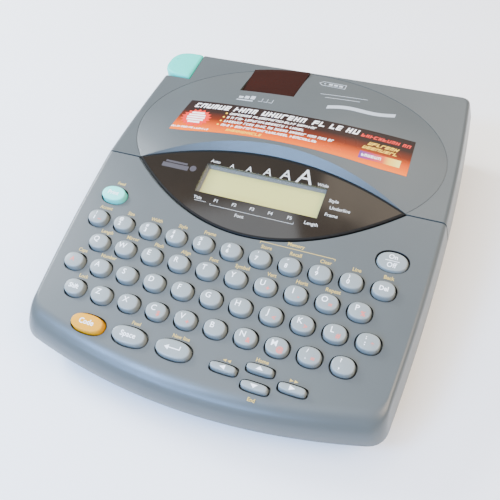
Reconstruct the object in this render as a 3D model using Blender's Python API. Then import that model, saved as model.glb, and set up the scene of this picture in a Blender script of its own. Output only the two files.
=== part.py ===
"""Desktop label maker: a wedge-shaped casing with a keyboard deck, a lens-shaped display,
a hinged tape cover, and the tape drive, cutter, batteries and boards that it holds.

Units are metres. +X is the user's right, +Y points to the rear, +Z is up.
The origin is on the table, under the middle of the casing.
"""

import math

import bmesh
import bpy
from mathutils import Vector

# ---------------------------------------------------------------- driving dimensions
HALF_WIDTH = 0.108          # widest line of the casing, at the split between deck and cover
FRONT_Y = -0.1205           # apex of the bowed front
FRONT_CORNER_Y = -0.106     # where the front bow meets the sides
REAR_Y = 0.1205
SIDE_BOW_RADIUS = 1.19      # the sides bow gently in plan
SPLIT_Y = 0.013             # seam between the deck and the tape cover
SPLIT_Z = 0.050             # height of the top at the seam
DECK_TILT = math.radians(8.5)
COVER_TILT = math.radians(2.5)
RIM_DEPTH = 0.013           # the parting line runs this far under the top
SIDE_DRAFT = 0.003
EDGE_RADIUS = 0.0024
NOSE_RADIUS = 0.013
WALL = 0.0025
GAP = 0.0003                # clearance between neighbouring pieces
SEAM = 0.0004
FAR = 0.3                   # reach of the cutters that take away a whole side
BASE_Z = 0.002              # underside of the casing; the feet reach the table
FLOOR_Z = BASE_Z + WALL
RIM_LEVELS = (RIM_DEPTH, 0.0090, 0.0055, 0.0028, 0.0010, 0.0)   # depths of the edge's rings

KEY_PITCH = 0.017
KEYS_X = -0.0020            # middle of the character rows
KEY_ROWS = {                # distance behind the seam along the deck, first and last column
    "key_row_numbers": (-0.0490, 0.0, 10.0),
    "key_row_q": (-0.0642, 0.5, 9.5),
    "key_row_a": (-0.0792, 0.0, 10.0),
    "key_row_z": (-0.0945, 0.5, 9.5),
}
KEY_HALF = (0.0061, 0.0050)
KEY_TOP = 0.0034
ON_OFF_TOP = 0.0010          # the power key stands low in its hole, so that it isn't knocked
KEY_EDGE = 0.0009
KEY_ROOM = 0.0006           # play around a key in its hole
KEY_FLANGE = 0.0013
SPECIAL_KEYS = {            # centre on the deck, half sizes, roundness of the outline
    "print_key": ((-0.0852, -0.0313), (0.0078, 0.0054), 2.2),
    "on_off_key": ((0.0832, -0.0308), (0.0083, 0.0060), 2.2),
    "code_key": ((-0.0610, -0.1119), (0.0098, 0.0051), 2.4),
    "space_key": ((-0.0358, -0.1117), (0.0098, 0.0051), 2.4),
    "return_key": ((-0.0100, -0.1116), (0.0098, 0.0051), 2.4),
    "cursor_left_key": ((0.0184, -0.1130), (0.0071, 0.0023), 3.6),
    "cursor_up_key": ((0.0364, -0.1082), (0.0071, 0.0023), 3.6),
    "cursor_down_key": ((0.0366, -0.1174), (0.0071, 0.0023), 3.6),
    "cursor_right_key": ((0.0546, -0.1129), (0.0071, 0.0023), 3.6),
}
WEB_TOP = -0.0040           # the rubber web under the deck, measured from the deck's top
WEB_THICKNESS = 0.0010
BOARD_THICKNESS = 0.0016
KEYPAD_BOARD_TOP = -0.0070
MAIN_BOARD_Z = 0.0080

LENS_TIP_X = 0.083          # the display lens ends in two tips on the seam
LENS_FRONT_SAG = 0.037
LENS_REAR_SAG = 0.020
LENS_TOP = 0.0004
LENS_THICKNESS = 0.0016
TRAY_TOP = LENS_TOP - LENS_THICKNESS - GAP
TRAY_THICKNESS = 0.0020
DISPLAY_MIN = (-0.040, -0.0165)
DISPLAY_MAX = (0.038, 0.0070)
DISPLAY_THICKNESS = 0.0042
RIM_OUTSET = 0.003          # the tray's rim reaches this far past the lens
BEVEL_HEIGHT = 0.010        # the cover's 45 degree edge behind the lens, before the crown trims it

DOME_CENTRE = 0.036         # elliptical crown on the tape cover, behind the seam
DOME_HALF = (0.098, 0.066)
DOME_HEIGHT = 0.008
WINDOW_MIN = (-0.0422, 0.0702)
WINDOW_MAX_X = -0.0056
WINDOW_SKEW = (0.0010, 0.0016)      # the rear corners lie this far right of the front ones
WINDOW_REAR_GAP = 0.0010            # from the window to the edge of the crown
WINDOW_THICKNESS = 0.0028

HINGE_Y, HINGE_Z = 0.1162, 0.0475
HINGE_RADIUS = 0.0026
HINGE_X = (-0.066, 0.066)
HINGE_LUG_WIDTH = 0.007
HINGE_PLAY = 0.0005
KNUCKLE_WIDTH = 0.007
HINGE_BORE, HINGE_PIN_RADIUS = 0.0013, 0.0010

CHASSIS_TOP, CHASSIS_THICKNESS = 0.0125, 0.002
CASSETTE_MIN = (-0.072, 0.058, 0.0128)
CASSETTE_MAX = (0.008, 0.110, 0.0428)
TAPE_Y = 0.084              # the tape runs out to the left along this line
TAPE_Z = (0.017, 0.041)
TAPE_THICKNESS, TAPE_END_X = 0.0002, -0.0910
TAPE_SLOT_WIDTH = 0.003
MOTOR_X, MOTOR_Y, MOTOR_RADIUS, MOTOR_TOP = -0.060, 0.036, 0.012, 0.038
PLATEN_RADIUS = 0.0045
ROLLER_TOP = 0.0410         # the roller and blade end under the pressed button's skirt
PLATEN_X, PLATEN_Y = -0.082, TAPE_Y + GAP + PLATEN_RADIUS
GEAR_MODULE = 0.001
GEAR_Z = (0.0060, 0.0095)
PINION_TEETH, IDLER_TEETH, PLATEN_TEETH, RIBBON_TEETH = 12, 44, 18, 20
RIBBON_DIRECTION = math.radians(10.0)
HEAD_PIVOT = (-0.095, 0.078)
HEAD_TOP = 0.0430

BUTTON_STRAIGHT_X = -0.0840  # inner edge of the cutter button
BUTTON_Y = (0.0908, 0.1172)
BUTTON_REACH = 0.0215
BUTTON_TOP, BUTTON_SKIRT = 0.0556, 0.0446
STEM_X, STEM_Y = -0.0896, 0.104
BLADE_X = -0.0937
GUIDE_TOP = 0.0470

CELL_RADIUS, CELL_LENGTH = 0.00715, 0.0500
CELL_COLUMNS = (0.0375, 0.0530, 0.0685)
CELL_LEVELS = (0.0140, 0.0292)
CELL_Y = 0.077
BATTERY_BOX = ((0.0280, 0.0465), (0.0780, 0.1075))
BATTERY_BOX_TOP, BATTERY_BOX_WALL = 0.0385, 0.0015
DOOR_MARGIN, DOOR_PLAY, DOOR_THICKNESS = 0.003, 0.0004, 0.0014
DOOR_END_Y = 0.1143         # the door slides out to the rear
JACK_X, JACK_Z = 0.019, 0.013
FOOT_RADIUS = 0.006
FOOT_CENTRES = {
    "foot_front_left": (-0.084, -0.079),
    "foot_front_right": (0.084, -0.079),
    "foot_rear_left": (-0.0885, 0.098),
    "foot_rear_right": (0.0885, 0.098),
}
SCREW_CENTRES = ((-0.080, -0.0925), (0.080, -0.0925), (-0.092, 0.002), (0.092, 0.002))
SCREW_HEAD_RADIUS, SCREW_SHANK_RADIUS = 0.0030, 0.0013
BOSS_RADIUS, BOSS_FOOT, BOSS_BORE = 0.0040, 0.0056, 0.0017
BOARD_POSTS = ((-0.062, -0.078), (0.062, -0.078), (-0.062, -0.006), (0.062, -0.006))
CHASSIS_POSTS = ((-0.030, 0.026), (0.004, 0.030), (0.004, 0.104), (-0.060, 0.106))

ABS_BLUE = ((0.30, 0.37, 0.42), 0.45, 0.0)
KEY_GREY = ((0.55, 0.63, 0.66), 0.55, 0.0)
KEY_TEAL = ((0.36, 0.80, 0.68), 0.45, 0.0)
KEY_AMBER = ((0.91, 0.60, 0.20), 0.5, 0.0)
SMOKE = ((0.05, 0.04, 0.03), 0.08, 0.0)
WINDOW_RED = ((0.09, 0.02, 0.01), 0.12, 0.0)
LCD_PALE = ((0.68, 0.66, 0.47), 0.3, 0.0)
BOARD_GREEN = ((0.02, 0.16, 0.07), 0.5, 0.0)
CHASSIS_DARK = ((0.05, 0.055, 0.06), 0.55, 0.0)
NYLON = ((0.75, 0.74, 0.68), 0.5, 0.0)
STEEL = ((0.55, 0.56, 0.58), 0.3, 1.0)
RUBBER = ((0.03, 0.03, 0.03), 0.85, 0.0)
CASSETTE_GREY = ((0.30, 0.30, 0.30), 0.5, 0.0)
TAPE_WHITE = ((0.85, 0.85, 0.82), 0.4, 0.0)
CELL_GOLD = ((0.35, 0.22, 0.06), 0.35, 0.4)

# ---------------------------------------------------------------- scene and helpers
for leftover in list(bpy.data.objects):
    bpy.data.objects.remove(leftover, do_unlink=True)

parts = bpy.data.collections.new("label_maker")
cutters = bpy.data.collections.new("cutters")
bpy.context.scene.collection.children.link(parts)
bpy.context.scene.collection.children.link(cutters)


def frame(name, location, tilt):
    """An empty that carries everything lying on one tilted plane."""
    empty = bpy.data.objects.new(name, None)
    empty.location = location
    empty.rotation_euler = (tilt, 0.0, 0.0)
    parts.objects.link(empty)
    return empty


deck_frame = frame("deck_frame", (0.0, SPLIT_Y, SPLIT_Z), DECK_TILT)
cover_frame = frame("cover_frame", (0.0, SPLIT_Y, SPLIT_Z), COVER_TILT)
materials = {}


def material(look):
    """The Principled material of one look, made once."""
    if look not in materials:
        colour, roughness, metallic = look
        made = bpy.data.materials.new("look_%d" % len(materials))
        made.use_nodes = True
        shader = made.node_tree.nodes["Principled BSDF"]
        shader.inputs["Base Color"].default_value = (*colour, 1.0)
        shader.inputs["Roughness"].default_value = roughness
        shader.inputs["Metallic"].default_value = metallic
        materials[look] = made
    return materials[look]


def add(name, mesh, look=None, parent=None, at=(0.0, 0.0, 0.0)):
    """Make an object of a bmesh: a part when it has a look, a hidden cutter when not."""
    bmesh.ops.recalc_face_normals(mesh, faces=mesh.faces)
    data = bpy.data.meshes.new(name)
    mesh.to_mesh(data)
    mesh.free()
    piece = bpy.data.objects.new(name, data)
    piece.parent = parent
    piece.location = at
    if look:
        data.materials.append(material(look))
        parts.objects.link(piece)
    else:
        piece.hide_render = True
        piece.display_type = "WIRE"
        cutters.objects.link(piece)
    return piece


def combine(piece, other, operation):
    """Boolean the other solid into the piece."""
    step = piece.modifiers.new(other.name, "BOOLEAN")
    step.object = other
    step.operation = operation
    step.solver = "EXACT"


def cut(piece, *others):
    for other in others:
        combine(piece, other, "DIFFERENCE")


def join(piece, *others):
    for other in others:
        combine(piece, other, "UNION")


def block(low, high, mesh=None):
    """An upright box between two corners."""
    mesh = mesh or bmesh.new()
    made = bmesh.ops.create_cube(mesh, size=1.0)["verts"]
    low, high = Vector(low), Vector(high)
    for vertex in made:
        vertex.co = (low + high) / 2 + Vector(a * b for a, b in zip(vertex.co, high - low))
    return mesh


def drum(centre, radius, z_low, z_high, segments=24, mesh=None):
    """An upright cylinder."""
    mesh = mesh or bmesh.new()
    made = bmesh.ops.create_cone(
        mesh, cap_ends=True, segments=segments, radius1=radius, radius2=radius, depth=z_high - z_low
    )["verts"]
    bmesh.ops.translate(mesh, verts=made, vec=(centre[0], centre[1], (z_low + z_high) / 2))
    return mesh


def rod(centre, radius, length, axis, segments=16, mesh=None):
    """A cylinder lying along X or Y about its centre."""
    mesh = mesh or bmesh.new()
    turn = Vector((0, 0, 1)).rotation_difference(Vector((1, 0, 0) if axis == "X" else (0, 1, 0)))
    made = bmesh.ops.create_cone(
        mesh, cap_ends=True, segments=segments, radius1=radius, radius2=radius, depth=length
    )["verts"]
    bmesh.ops.rotate(mesh, verts=made, cent=(0, 0, 0), matrix=turn.to_matrix())
    bmesh.ops.translate(mesh, verts=made, vec=centre)
    return mesh


def loft(rings, seam_y=None, mesh=None):
    """A closed solid through equal rings; a seam parts each cap into its two flat halves."""
    mesh = mesh or bmesh.new()
    loops = [[mesh.verts.new(point) for point in ring] for ring in rings]
    for lower, upper in zip(loops, loops[1:]):
        for i, vertex in enumerate(lower):
            mesh.faces.new((lower[i - 1], vertex, upper[i], upper[i - 1]))
    for loop in (loops[0], loops[-1]):
        ends = [i for i, v in enumerate(loop) if seam_y is not None and abs(v.co.y - seam_y) < 1e-6]
        if ends:
            first, last = ends
            mesh.faces.new(loop[first:last + 1])
            mesh.faces.new(loop[last:] + loop[:first + 1])
        else:
            mesh.faces.new(loop)
    return mesh


def oval(half_x, half_y, roundness=2.3, count=12):
    """Points of a superellipse, counter-clockwise."""
    points = []
    for i in range(count):
        angle = math.tau * (i + 0.5) / count
        c, s = math.cos(angle), math.sin(angle)
        x = half_x * math.copysign(abs(c) ** (2 / roundness), c)
        y = half_y * math.copysign(abs(s) ** (2 / roundness), s)
        points.append((x, y))
    return points


def at_height(outline, z, centre=(0.0, 0.0)):
    return [(x + centre[0], y + centre[1], z) for x, y in outline]


def prism(outline, z_low, z_high, mesh=None):
    return loft([at_height(outline, z_low), at_height(outline, z_high)], mesh=mesh)


# ---------------------------------------------------------------- casing outline
def half_width(y, inset):
    return HALF_WIDTH - inset - (y - SPLIT_Y) ** 2 / (2 * SIDE_BOW_RADIUS)


def top_z(y):
    """Height of the casing's top: the deck in front of the seam, the cover behind it."""
    return SPLIT_Z + (y - SPLIT_Y) * math.tan(DECK_TILT if y < SPLIT_Y else COVER_TILT)


def bend(start, corner, end, count):
    """Points inside a rounded corner."""
    points = []
    for i in range(1, count):
        t = i / count
        points.append(start * (1 - t) ** 2 + corner * (2 * t * (1 - t)) + end * t ** 2)
    return points


def casing_outline(side, front, rear):
    """Plan of the casing moved in by three insets, counter-clockwise from the left front."""
    front_round, rear_round = 0.008, 0.005
    corner_y = FRONT_CORNER_Y + front
    rear_y = REAR_Y - rear
    corner_x = half_width(corner_y, side)

    def front_point(x):
        sag = FRONT_CORNER_Y - FRONT_Y
        return Vector((x, corner_y - sag * (1 - (x / corner_x) ** 2)))

    def side_point(y):
        return Vector((half_width(y, side), y))

    right = [front_point(corner_x - front_round)]
    right += bend(right[0], front_point(corner_x), side_point(corner_y + front_round), 4)
    steps = 4
    side_start, side_end = corner_y + front_round, rear_y - rear_round
    for i in range(steps):
        right.append(side_point(side_start + i * (SPLIT_Y - side_start) / steps))
    for i in range(steps + 1):
        right.append(side_point(SPLIT_Y + i * (side_end - SPLIT_Y) / steps))
    corner = side_point(rear_y)
    rear_start = Vector((corner.x - rear_round, rear_y))
    right += bend(right[-1], corner, rear_start, 3) + [rear_start]
    left = [Vector((-p.x, p.y)) for p in reversed(right)]
    span = corner_x - front_round
    middle = [front_point(-span + 2 * span * i / 10) for i in range(1, 10)]
    return middle + right + left


def fillet(drop, radius):
    """How far a rounded edge has moved in, at a depth under the top."""
    height = max(radius - drop, 0.0)
    return radius - math.sqrt(radius ** 2 - height ** 2)


def rim_ring(drop, grow=0.0, lower=0.0):
    """Ring of the upper casing at a depth under the top, shrunk by a wall for the inside."""
    side = SIDE_DRAFT * (RIM_DEPTH - drop) / RIM_DEPTH + fillet(drop, EDGE_RADIUS) + grow
    outline = casing_outline(side, fillet(drop, NOSE_RADIUS) + grow, side)
    return [(p.x, p.y, top_z(p.y) - drop - lower) for p in outline]


def base_ring(z, side, front, rear):
    return [(p.x, p.y, z) for p in casing_outline(side, front, rear)]


def upper_body():
    return loft([rim_ring(drop) for drop in RIM_LEVELS], SPLIT_Y)


def upper_hollow():
    return loft([rim_ring(drop, WALL, WALL) for drop in RIM_LEVELS], SPLIT_Y)


def lens_outline(outset, count=16):
    """Two parabolic bows that meet in tips on the seam."""
    tip = LENS_TIP_X + 1.6 * outset
    points = []
    for i in range(count):
        x = -tip + 2 * tip * i / count
        points.append((x, -(LENS_FRONT_SAG + outset) * (1 - (x / tip) ** 2)))
    for i in range(count):
        x = tip - 2 * tip * i / count
        points.append((x, (LENS_REAR_SAG + outset) * (1 - (x / tip) ** 2)))
    return points


def dome(lower):
    """The cover's crown: a shallow elliptical paraboloid with a foot under the plane."""
    rings, steps = [], 5
    foot = 0.004
    for i in range(steps + 1):
        share = 1.0 - 0.97 * i / steps
        z = DOME_HEIGHT * (1 - share ** 2) - lower
        ellipse = oval(DOME_HALF[0] * share, DOME_HALF[1] * share, 2, 32)
        rings.append(at_height(ellipse, z, (0, DOME_CENTRE)))
    rings.insert(0, at_height(oval(*DOME_HALF, 2, 32), -foot - lower, (0, DOME_CENTRE)))
    return loft(rings)


# ---------------------------------------------------------------- casing
def key_stations():
    """Every key as name, centre, half sizes and roundness, in the deck's plane."""
    for name, (y, first, last) in KEY_ROWS.items():
        for column in range(int(last - first) + 1):
            x = KEYS_X + (first + column - 5.0) * KEY_PITCH
            yield name, (x, y), KEY_HALF, 2.3
    for name, (centre, half, roundness) in SPECIAL_KEYS.items():
        yield name, centre, half, roundness


def build_upper_case():
    case = add("upper_case", upper_body(), ABS_BLUE)
    behind = add("behind_seam", block((-FAR, SPLIT_Y - SEAM / 2, -FAR), (FAR, FAR, FAR)))
    hollow = add("deck_hollow", upper_hollow())
    cut(case, hollow)
    bosses = bmesh.new()
    for centre in SCREW_CENTRES:
        drum(centre, BOSS_RADIUS, BOSS_FOOT, top_z(centre[1]) - WALL / 2, 16, bosses)
    join(case, add("deck_bosses", bosses))
    tray = prism(lens_outline(GAP), TRAY_TOP - TRAY_THICKNESS, TRAY_TOP)
    rim = prism(lens_outline(RIM_OUTSET), TRAY_TOP - TRAY_THICKNESS + 0.0004, -WALL / 2)
    join(case, add("display_tray_rim", rim, parent=deck_frame))
    cut(case, behind)
    seat = prism(lens_outline(2 * GAP), TRAY_TOP - GAP, 0.03)
    cut(case, add("lens_seat", seat, parent=deck_frame))
    join(case, add("display_tray", tray, parent=deck_frame))
    opening = block((*DISPLAY_MIN, -0.02), (*DISPLAY_MAX, 0.01))
    holes = bmesh.new()
    for _, centre, half, roundness in key_stations():
        outline = oval(half[0] + KEY_ROOM, half[1] + KEY_ROOM, roundness)
        loft([at_height(outline, -0.01, centre), at_height(outline, 0.01, centre)], mesh=holes)
    cut(case, add("display_opening", opening, parent=deck_frame))
    cut(case, add("key_holes", holes, parent=deck_frame))
    bores = bmesh.new()
    for centre in SCREW_CENTRES:
        drum(centre, BOSS_BORE, 0.0, 0.018, 12, bores)
    cut(case, add("boss_bores", bores))


def build_tape_cover():
    hinge = (0.0, HINGE_Y, HINGE_Z)
    body = upper_body()
    bmesh.ops.translate(body, verts=body.verts, vec=-Vector(hinge))
    cover = add("tape_cover", body, ABS_BLUE, at=hinge)
    join(cover, add("crown", dome(0.0), parent=cover_frame))
    front = add("before_seam", block((-FAR, -FAR, -FAR), (FAR, SPLIT_Y + SEAM / 2, FAR)))
    slit = 0.0007
    bevel = loft([
        at_height(lens_outline(slit), -0.04),
        at_height(lens_outline(slit), LENS_TOP),
        at_height(lens_outline(slit + BEVEL_HEIGHT), LENS_TOP + BEVEL_HEIGHT),
    ])
    hollow = add("cover_hollow", upper_hollow())
    inner_crown = add("inner_crown", dome(WALL), parent=cover_frame)
    rim = add("display_rim", prism(lens_outline(0.0085), -0.03, 0.03), parent=deck_frame)
    under_rim = add("under_rim", block((-FAR, -FAR, -FAR), (FAR, FAR, SPLIT_Z - RIM_DEPTH + 0.0035)))
    join(hollow, inner_crown)
    cut(rim, under_rim)
    cut(hollow, rim)
    cut(cover, front, hollow, add("display_bevel", bevel, parent=deck_frame))
    room = 0.0008
    notch = block((-FAR, BUTTON_Y[0] - room, 0.0), (BUTTON_STRAIGHT_X + room, FAR, FAR))
    heel = block((-FAR, 0.1100, 0.0), (FAR, FAR, HINGE_Z - 0.0048))
    cut(cover, add("button_notch", notch), add("rear_heel", heel))
    slots = bmesh.new()
    half = HINGE_LUG_WIDTH / 2 + HINGE_PLAY
    for x in HINGE_X:
        block((x - half, 0.1115, 0.0), (x + half, FAR, HINGE_Z + HINGE_RADIUS + room), slots)
    cut(cover, add("hinge_slots", slots))
    opening = window_outline(0.0003)
    cut(cover, add("window_opening", prism(opening, -0.02, 0.02), parent=cover_frame))
    knuckles = bmesh.new()
    for x in HINGE_X:
        for side in (-1, 1):
            middle = x + side * (half + KNUCKLE_WIDTH / 2)
            low = (middle - KNUCKLE_WIDTH / 2, HINGE_Y - 0.0042, HINGE_Z - 0.0020)
            block(low, (middle + KNUCKLE_WIDTH / 2, HINGE_Y + 0.0010, HINGE_Z + 0.0050), knuckles)
    join(cover, add("hinge_knuckles", knuckles))
    bores = bmesh.new()
    for x in HINGE_X:
        rod((x, HINGE_Y, HINGE_Z), HINGE_BORE, 2 * (half + KNUCKLE_WIDTH) + 0.001, "X", 12, bores)
    cut(cover, add("hinge_bores", bores))


def window_outline(outset):
    """The cassette window: straight front and sides, its rear edge on the crown's ellipse."""
    x_low, x_high = WINDOW_MIN[0] - outset, WINDOW_MAX_X + outset
    points = [(x_low, WINDOW_MIN[1] - outset), (x_high, WINDOW_MIN[1] + 0.001 - outset)]
    rear_left, rear_right = x_low + WINDOW_SKEW[0], x_high + WINDOW_SKEW[1]
    steps = 5
    for i in range(steps + 1):
        x = rear_right + (rear_left - rear_right) * i / steps
        rise = DOME_HALF[1] * math.sqrt(1 - (x / DOME_HALF[0]) ** 2)
        points.append((x, DOME_CENTRE + rise - WINDOW_REAR_GAP + outset))
    return points


def build_tape_window():
    low = -0.0006
    lens = prism(window_outline(0.0), low, low + WINDOW_THICKNESS)
    add("tape_window", lens, WINDOW_RED, parent=cover_frame)


def build_lower_case():
    case = add("lower_case", loft([
        base_ring(BASE_Z, 0.0085, 0.0110, 0.0055),
        base_ring(FLOOR_Z, 0.0060, 0.0085, 0.0030),
        rim_ring(RIM_DEPTH, 0.0, GAP),
    ], SPLIT_Y), ABS_BLUE)
    hollow = loft([
        base_ring(FLOOR_Z, 0.0060 + WALL, 0.0085 + WALL, 0.0030 + WALL),
        rim_ring(RIM_DEPTH, WALL, GAP),
        [(x, y, z + 0.05) for x, y, z in rim_ring(RIM_DEPTH, WALL, GAP)],
    ], SPLIT_Y)
    cut(case, add("base_hollow", hollow))
    (x_low, y_low), (x_high, y_high) = BATTERY_BOX
    wall = BATTERY_BOX_WALL
    openings = block((x_low + wall, y_low + wall, -0.01), (x_high - wall, y_high - wall, 0.02))
    seat = block(
        (x_low - DOOR_MARGIN, y_low - DOOR_MARGIN, -0.01),
        (x_high + DOOR_MARGIN, FAR, BASE_Z + DOOR_THICKNESS + GAP),
    )
    half = TAPE_SLOT_WIDTH / 2
    slot = block((-FAR, TAPE_Y - half, TAPE_Z[0] - 0.001), (-0.0965, TAPE_Y + half, 0.08))
    cut(case, add("battery_opening", openings), add("door_seat", seat), add("tape_slot", slot))
    cut(case, add("jack_opening", rod((JACK_X, REAR_Y, JACK_Z), 0.0036, 0.02, "Y")))
    posts = bmesh.new()
    for x, y in BOARD_POSTS:
        drum((x, y), 0.003, FLOOR_Z - 0.001, MAIN_BOARD_Z - GAP, 12, posts)
    for x, y in CHASSIS_POSTS:
        drum((x, y), 0.0035, FLOOR_Z - 0.001, CHASSIS_TOP - CHASSIS_THICKNESS - GAP, 12, posts)
    join(case, add("base_posts", posts))
    lugs = bmesh.new()
    for x in HINGE_X:
        half = HINGE_LUG_WIDTH / 2
        block((x - half, HINGE_Y - HINGE_RADIUS, 0.036), (x + half, REAR_Y - 0.0018, HINGE_Z), lugs)
    join(case, add("hinge_lugs", lugs))
    tops = bmesh.new()
    for x in HINGE_X:
        rod((x, HINGE_Y, HINGE_Z), HINGE_RADIUS - 0.00005, HINGE_LUG_WIDTH, "X", 20, tops)
    join(case, add("hinge_lug_tops", tops))
    holes = bmesh.new()
    for centre in SCREW_CENTRES:
        drum(centre, SCREW_SHANK_RADIUS + 0.0005, 0.0, 0.01, 12, holes)
    for x in HINGE_X:
        rod((x, HINGE_Y, HINGE_Z), HINGE_BORE, HINGE_LUG_WIDTH + 0.004, "X", 12, holes)
    cut(case, add("base_holes", holes))
    sinks = bmesh.new()
    for centre in SCREW_CENTRES:
        drum(centre, SCREW_HEAD_RADIUS + 0.0005, 0.0, BASE_Z + 0.0012, 16, sinks)
    cut(case, add("screw_sinks", sinks))


def build_display():
    lens = prism(lens_outline(0.0), LENS_TOP - LENS_THICKNESS, LENS_TOP)
    add("display_lens", lens, SMOKE, deck_frame)
    top = TRAY_TOP - TRAY_THICKNESS - GAP
    low = (DISPLAY_MIN[0] - 0.004, DISPLAY_MIN[1] - 0.003, top - DISPLAY_THICKNESS)
    high = (DISPLAY_MAX[0] + 0.004, DISPLAY_MAX[1] + 0.003, top)
    add("display_module", block(low, high), LCD_PALE, deck_frame)


# ---------------------------------------------------------------- keys
def key_cap(centre, half, roundness, foot, height=KEY_TOP, mesh=None):
    """One key from its foot to a rounded top edge."""
    body = oval(*half, roundness)
    top = oval(half[0] - KEY_EDGE, half[1] - KEY_EDGE, roundness)
    return loft([
        at_height(body, foot, centre),
        at_height(body, height - KEY_EDGE, centre),
        at_height(top, height, centre),
    ], mesh=mesh)


def build_key_rows():
    """The character keys of each row stand on one web, as the rubber mat makes them."""
    for name, (y, first, last) in KEY_ROWS.items():
        half_x = (last - first) / 2 * KEY_PITCH + KEY_HALF[0] + 0.0010
        half_y = KEY_HALF[1] + 0.0010
        web = block((KEYS_X - half_x, -half_y, WEB_TOP - WEB_THICKNESS),
                    (KEYS_X + half_x, half_y, WEB_TOP))
        row = add(name, web, KEY_GREY, deck_frame, (0.0, y, 0.0))
        caps = bmesh.new()
        for owner, (x, _), half, roundness in key_stations():
            if owner == name:
                key_cap((x, 0.0), half, roundness, WEB_TOP - WEB_THICKNESS / 2, mesh=caps)
        join(row, add(name + "_caps", caps, parent=deck_frame, at=(0.0, y, 0.0)))


def build_special_keys():
    looks = {"print_key": KEY_TEAL, "code_key": KEY_AMBER}
    for name, (centre, half, roundness) in SPECIAL_KEYS.items():
        flange = oval(half[0] + KEY_FLANGE, half[1] + KEY_FLANGE, roundness)
        base = prism(flange, WEB_TOP - WEB_THICKNESS, WEB_TOP)
        key = add(name, base, looks.get(name, KEY_GREY), deck_frame, (*centre, 0.0))
        height = ON_OFF_TOP if name == "on_off_key" else KEY_TOP
        cap = key_cap((0.0, 0.0), half, roundness, WEB_TOP - WEB_THICKNESS / 2, height)
        join(key, add(name + "_cap", cap, parent=deck_frame, at=(*centre, 0.0)))


def build_boards():
    low = (-0.091, -0.1030, KEYPAD_BOARD_TOP - BOARD_THICKNESS)
    high = (0.091, -0.0235, KEYPAD_BOARD_TOP)
    keypad = add("keypad_board", block(low, high), BOARD_GREEN, deck_frame)
    apron = block((-0.066, -0.1222, low[2]), (0.066, -0.1020, high[2]))
    join(keypad, add("keypad_apron", apron, parent=deck_frame))
    top = MAIN_BOARD_Z + BOARD_THICKNESS
    board = block((-0.070, -0.086, MAIN_BOARD_Z), (0.070, 0.002, top))
    board = add("main_board", board, BOARD_GREEN)
    sunk = top - 0.0006
    chips = block((-0.030, -0.060, sunk), (-0.008, -0.038, 0.0120))
    block((0.015, -0.050, sunk), (0.035, -0.036, 0.0115), chips)
    block((-0.055, -0.030, sunk), (-0.040, -0.008, 0.0150), chips)
    join(board, add("board_chips", chips))


# ---------------------------------------------------------------- tape drive
def gear_outline(teeth, phase):
    """Plan of a spur gear with slim teeth, so that a pair turns with play."""
    pitch_radius = GEAR_MODULE * teeth / 2
    root, tip = pitch_radius - 1.05 * GEAR_MODULE, pitch_radius + 0.75 * GEAR_MODULE
    step = math.tau / teeth
    points = []
    for tooth in range(teeth):
        for radius, share in ((root, -0.30), (tip, -0.10), (tip, 0.10), (root, 0.30)):
            angle = phase + (tooth + share) * step
            points.append((radius * math.cos(angle), radius * math.sin(angle)))
    return points


def gear(name, centre, teeth, phase, bore, look):
    wheel = add(name, prism(gear_outline(teeth, phase), *GEAR_Z), look, at=(*centre, 0.0))
    if bore:
        cut(wheel, add(name + "_bore", drum(centre, bore, 0.0, 0.02, 16)))
    return wheel


def mesh_distance(teeth, other):
    return GEAR_MODULE * (teeth + other) / 2


def idler_centre():
    """The idler stands where its circle touches both the pinion's and the platen gear's."""
    start, end = Vector((MOTOR_X, MOTOR_Y)), Vector((PLATEN_X, PLATEN_Y))
    near, far = mesh_distance(PINION_TEETH, IDLER_TEETH), mesh_distance(IDLER_TEETH, PLATEN_TEETH)
    span = (end - start).length
    along = (near ** 2 - far ** 2 + span ** 2) / (2 * span)
    across = math.sqrt(near ** 2 - along ** 2)
    forward = (end - start) / span
    return start + forward * along + Vector((forward.y, -forward.x)) * across


IDLER = idler_centre()
RIBBON = IDLER + mesh_distance(IDLER_TEETH, RIBBON_TEETH) * Vector(
    (math.cos(RIBBON_DIRECTION), math.sin(RIBBON_DIRECTION))
)


def partner_phase(centre, teeth):
    """Turn that puts a gap of this gear opposite the idler tooth on their line of centres."""
    away = math.atan2(centre[1] - IDLER.y, centre[0] - IDLER.x)
    idler_step, step = math.tau / IDLER_TEETH, math.tau / teeth
    offset = (away % idler_step) / idler_step
    return away + math.pi + (offset + 0.5) * step


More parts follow.
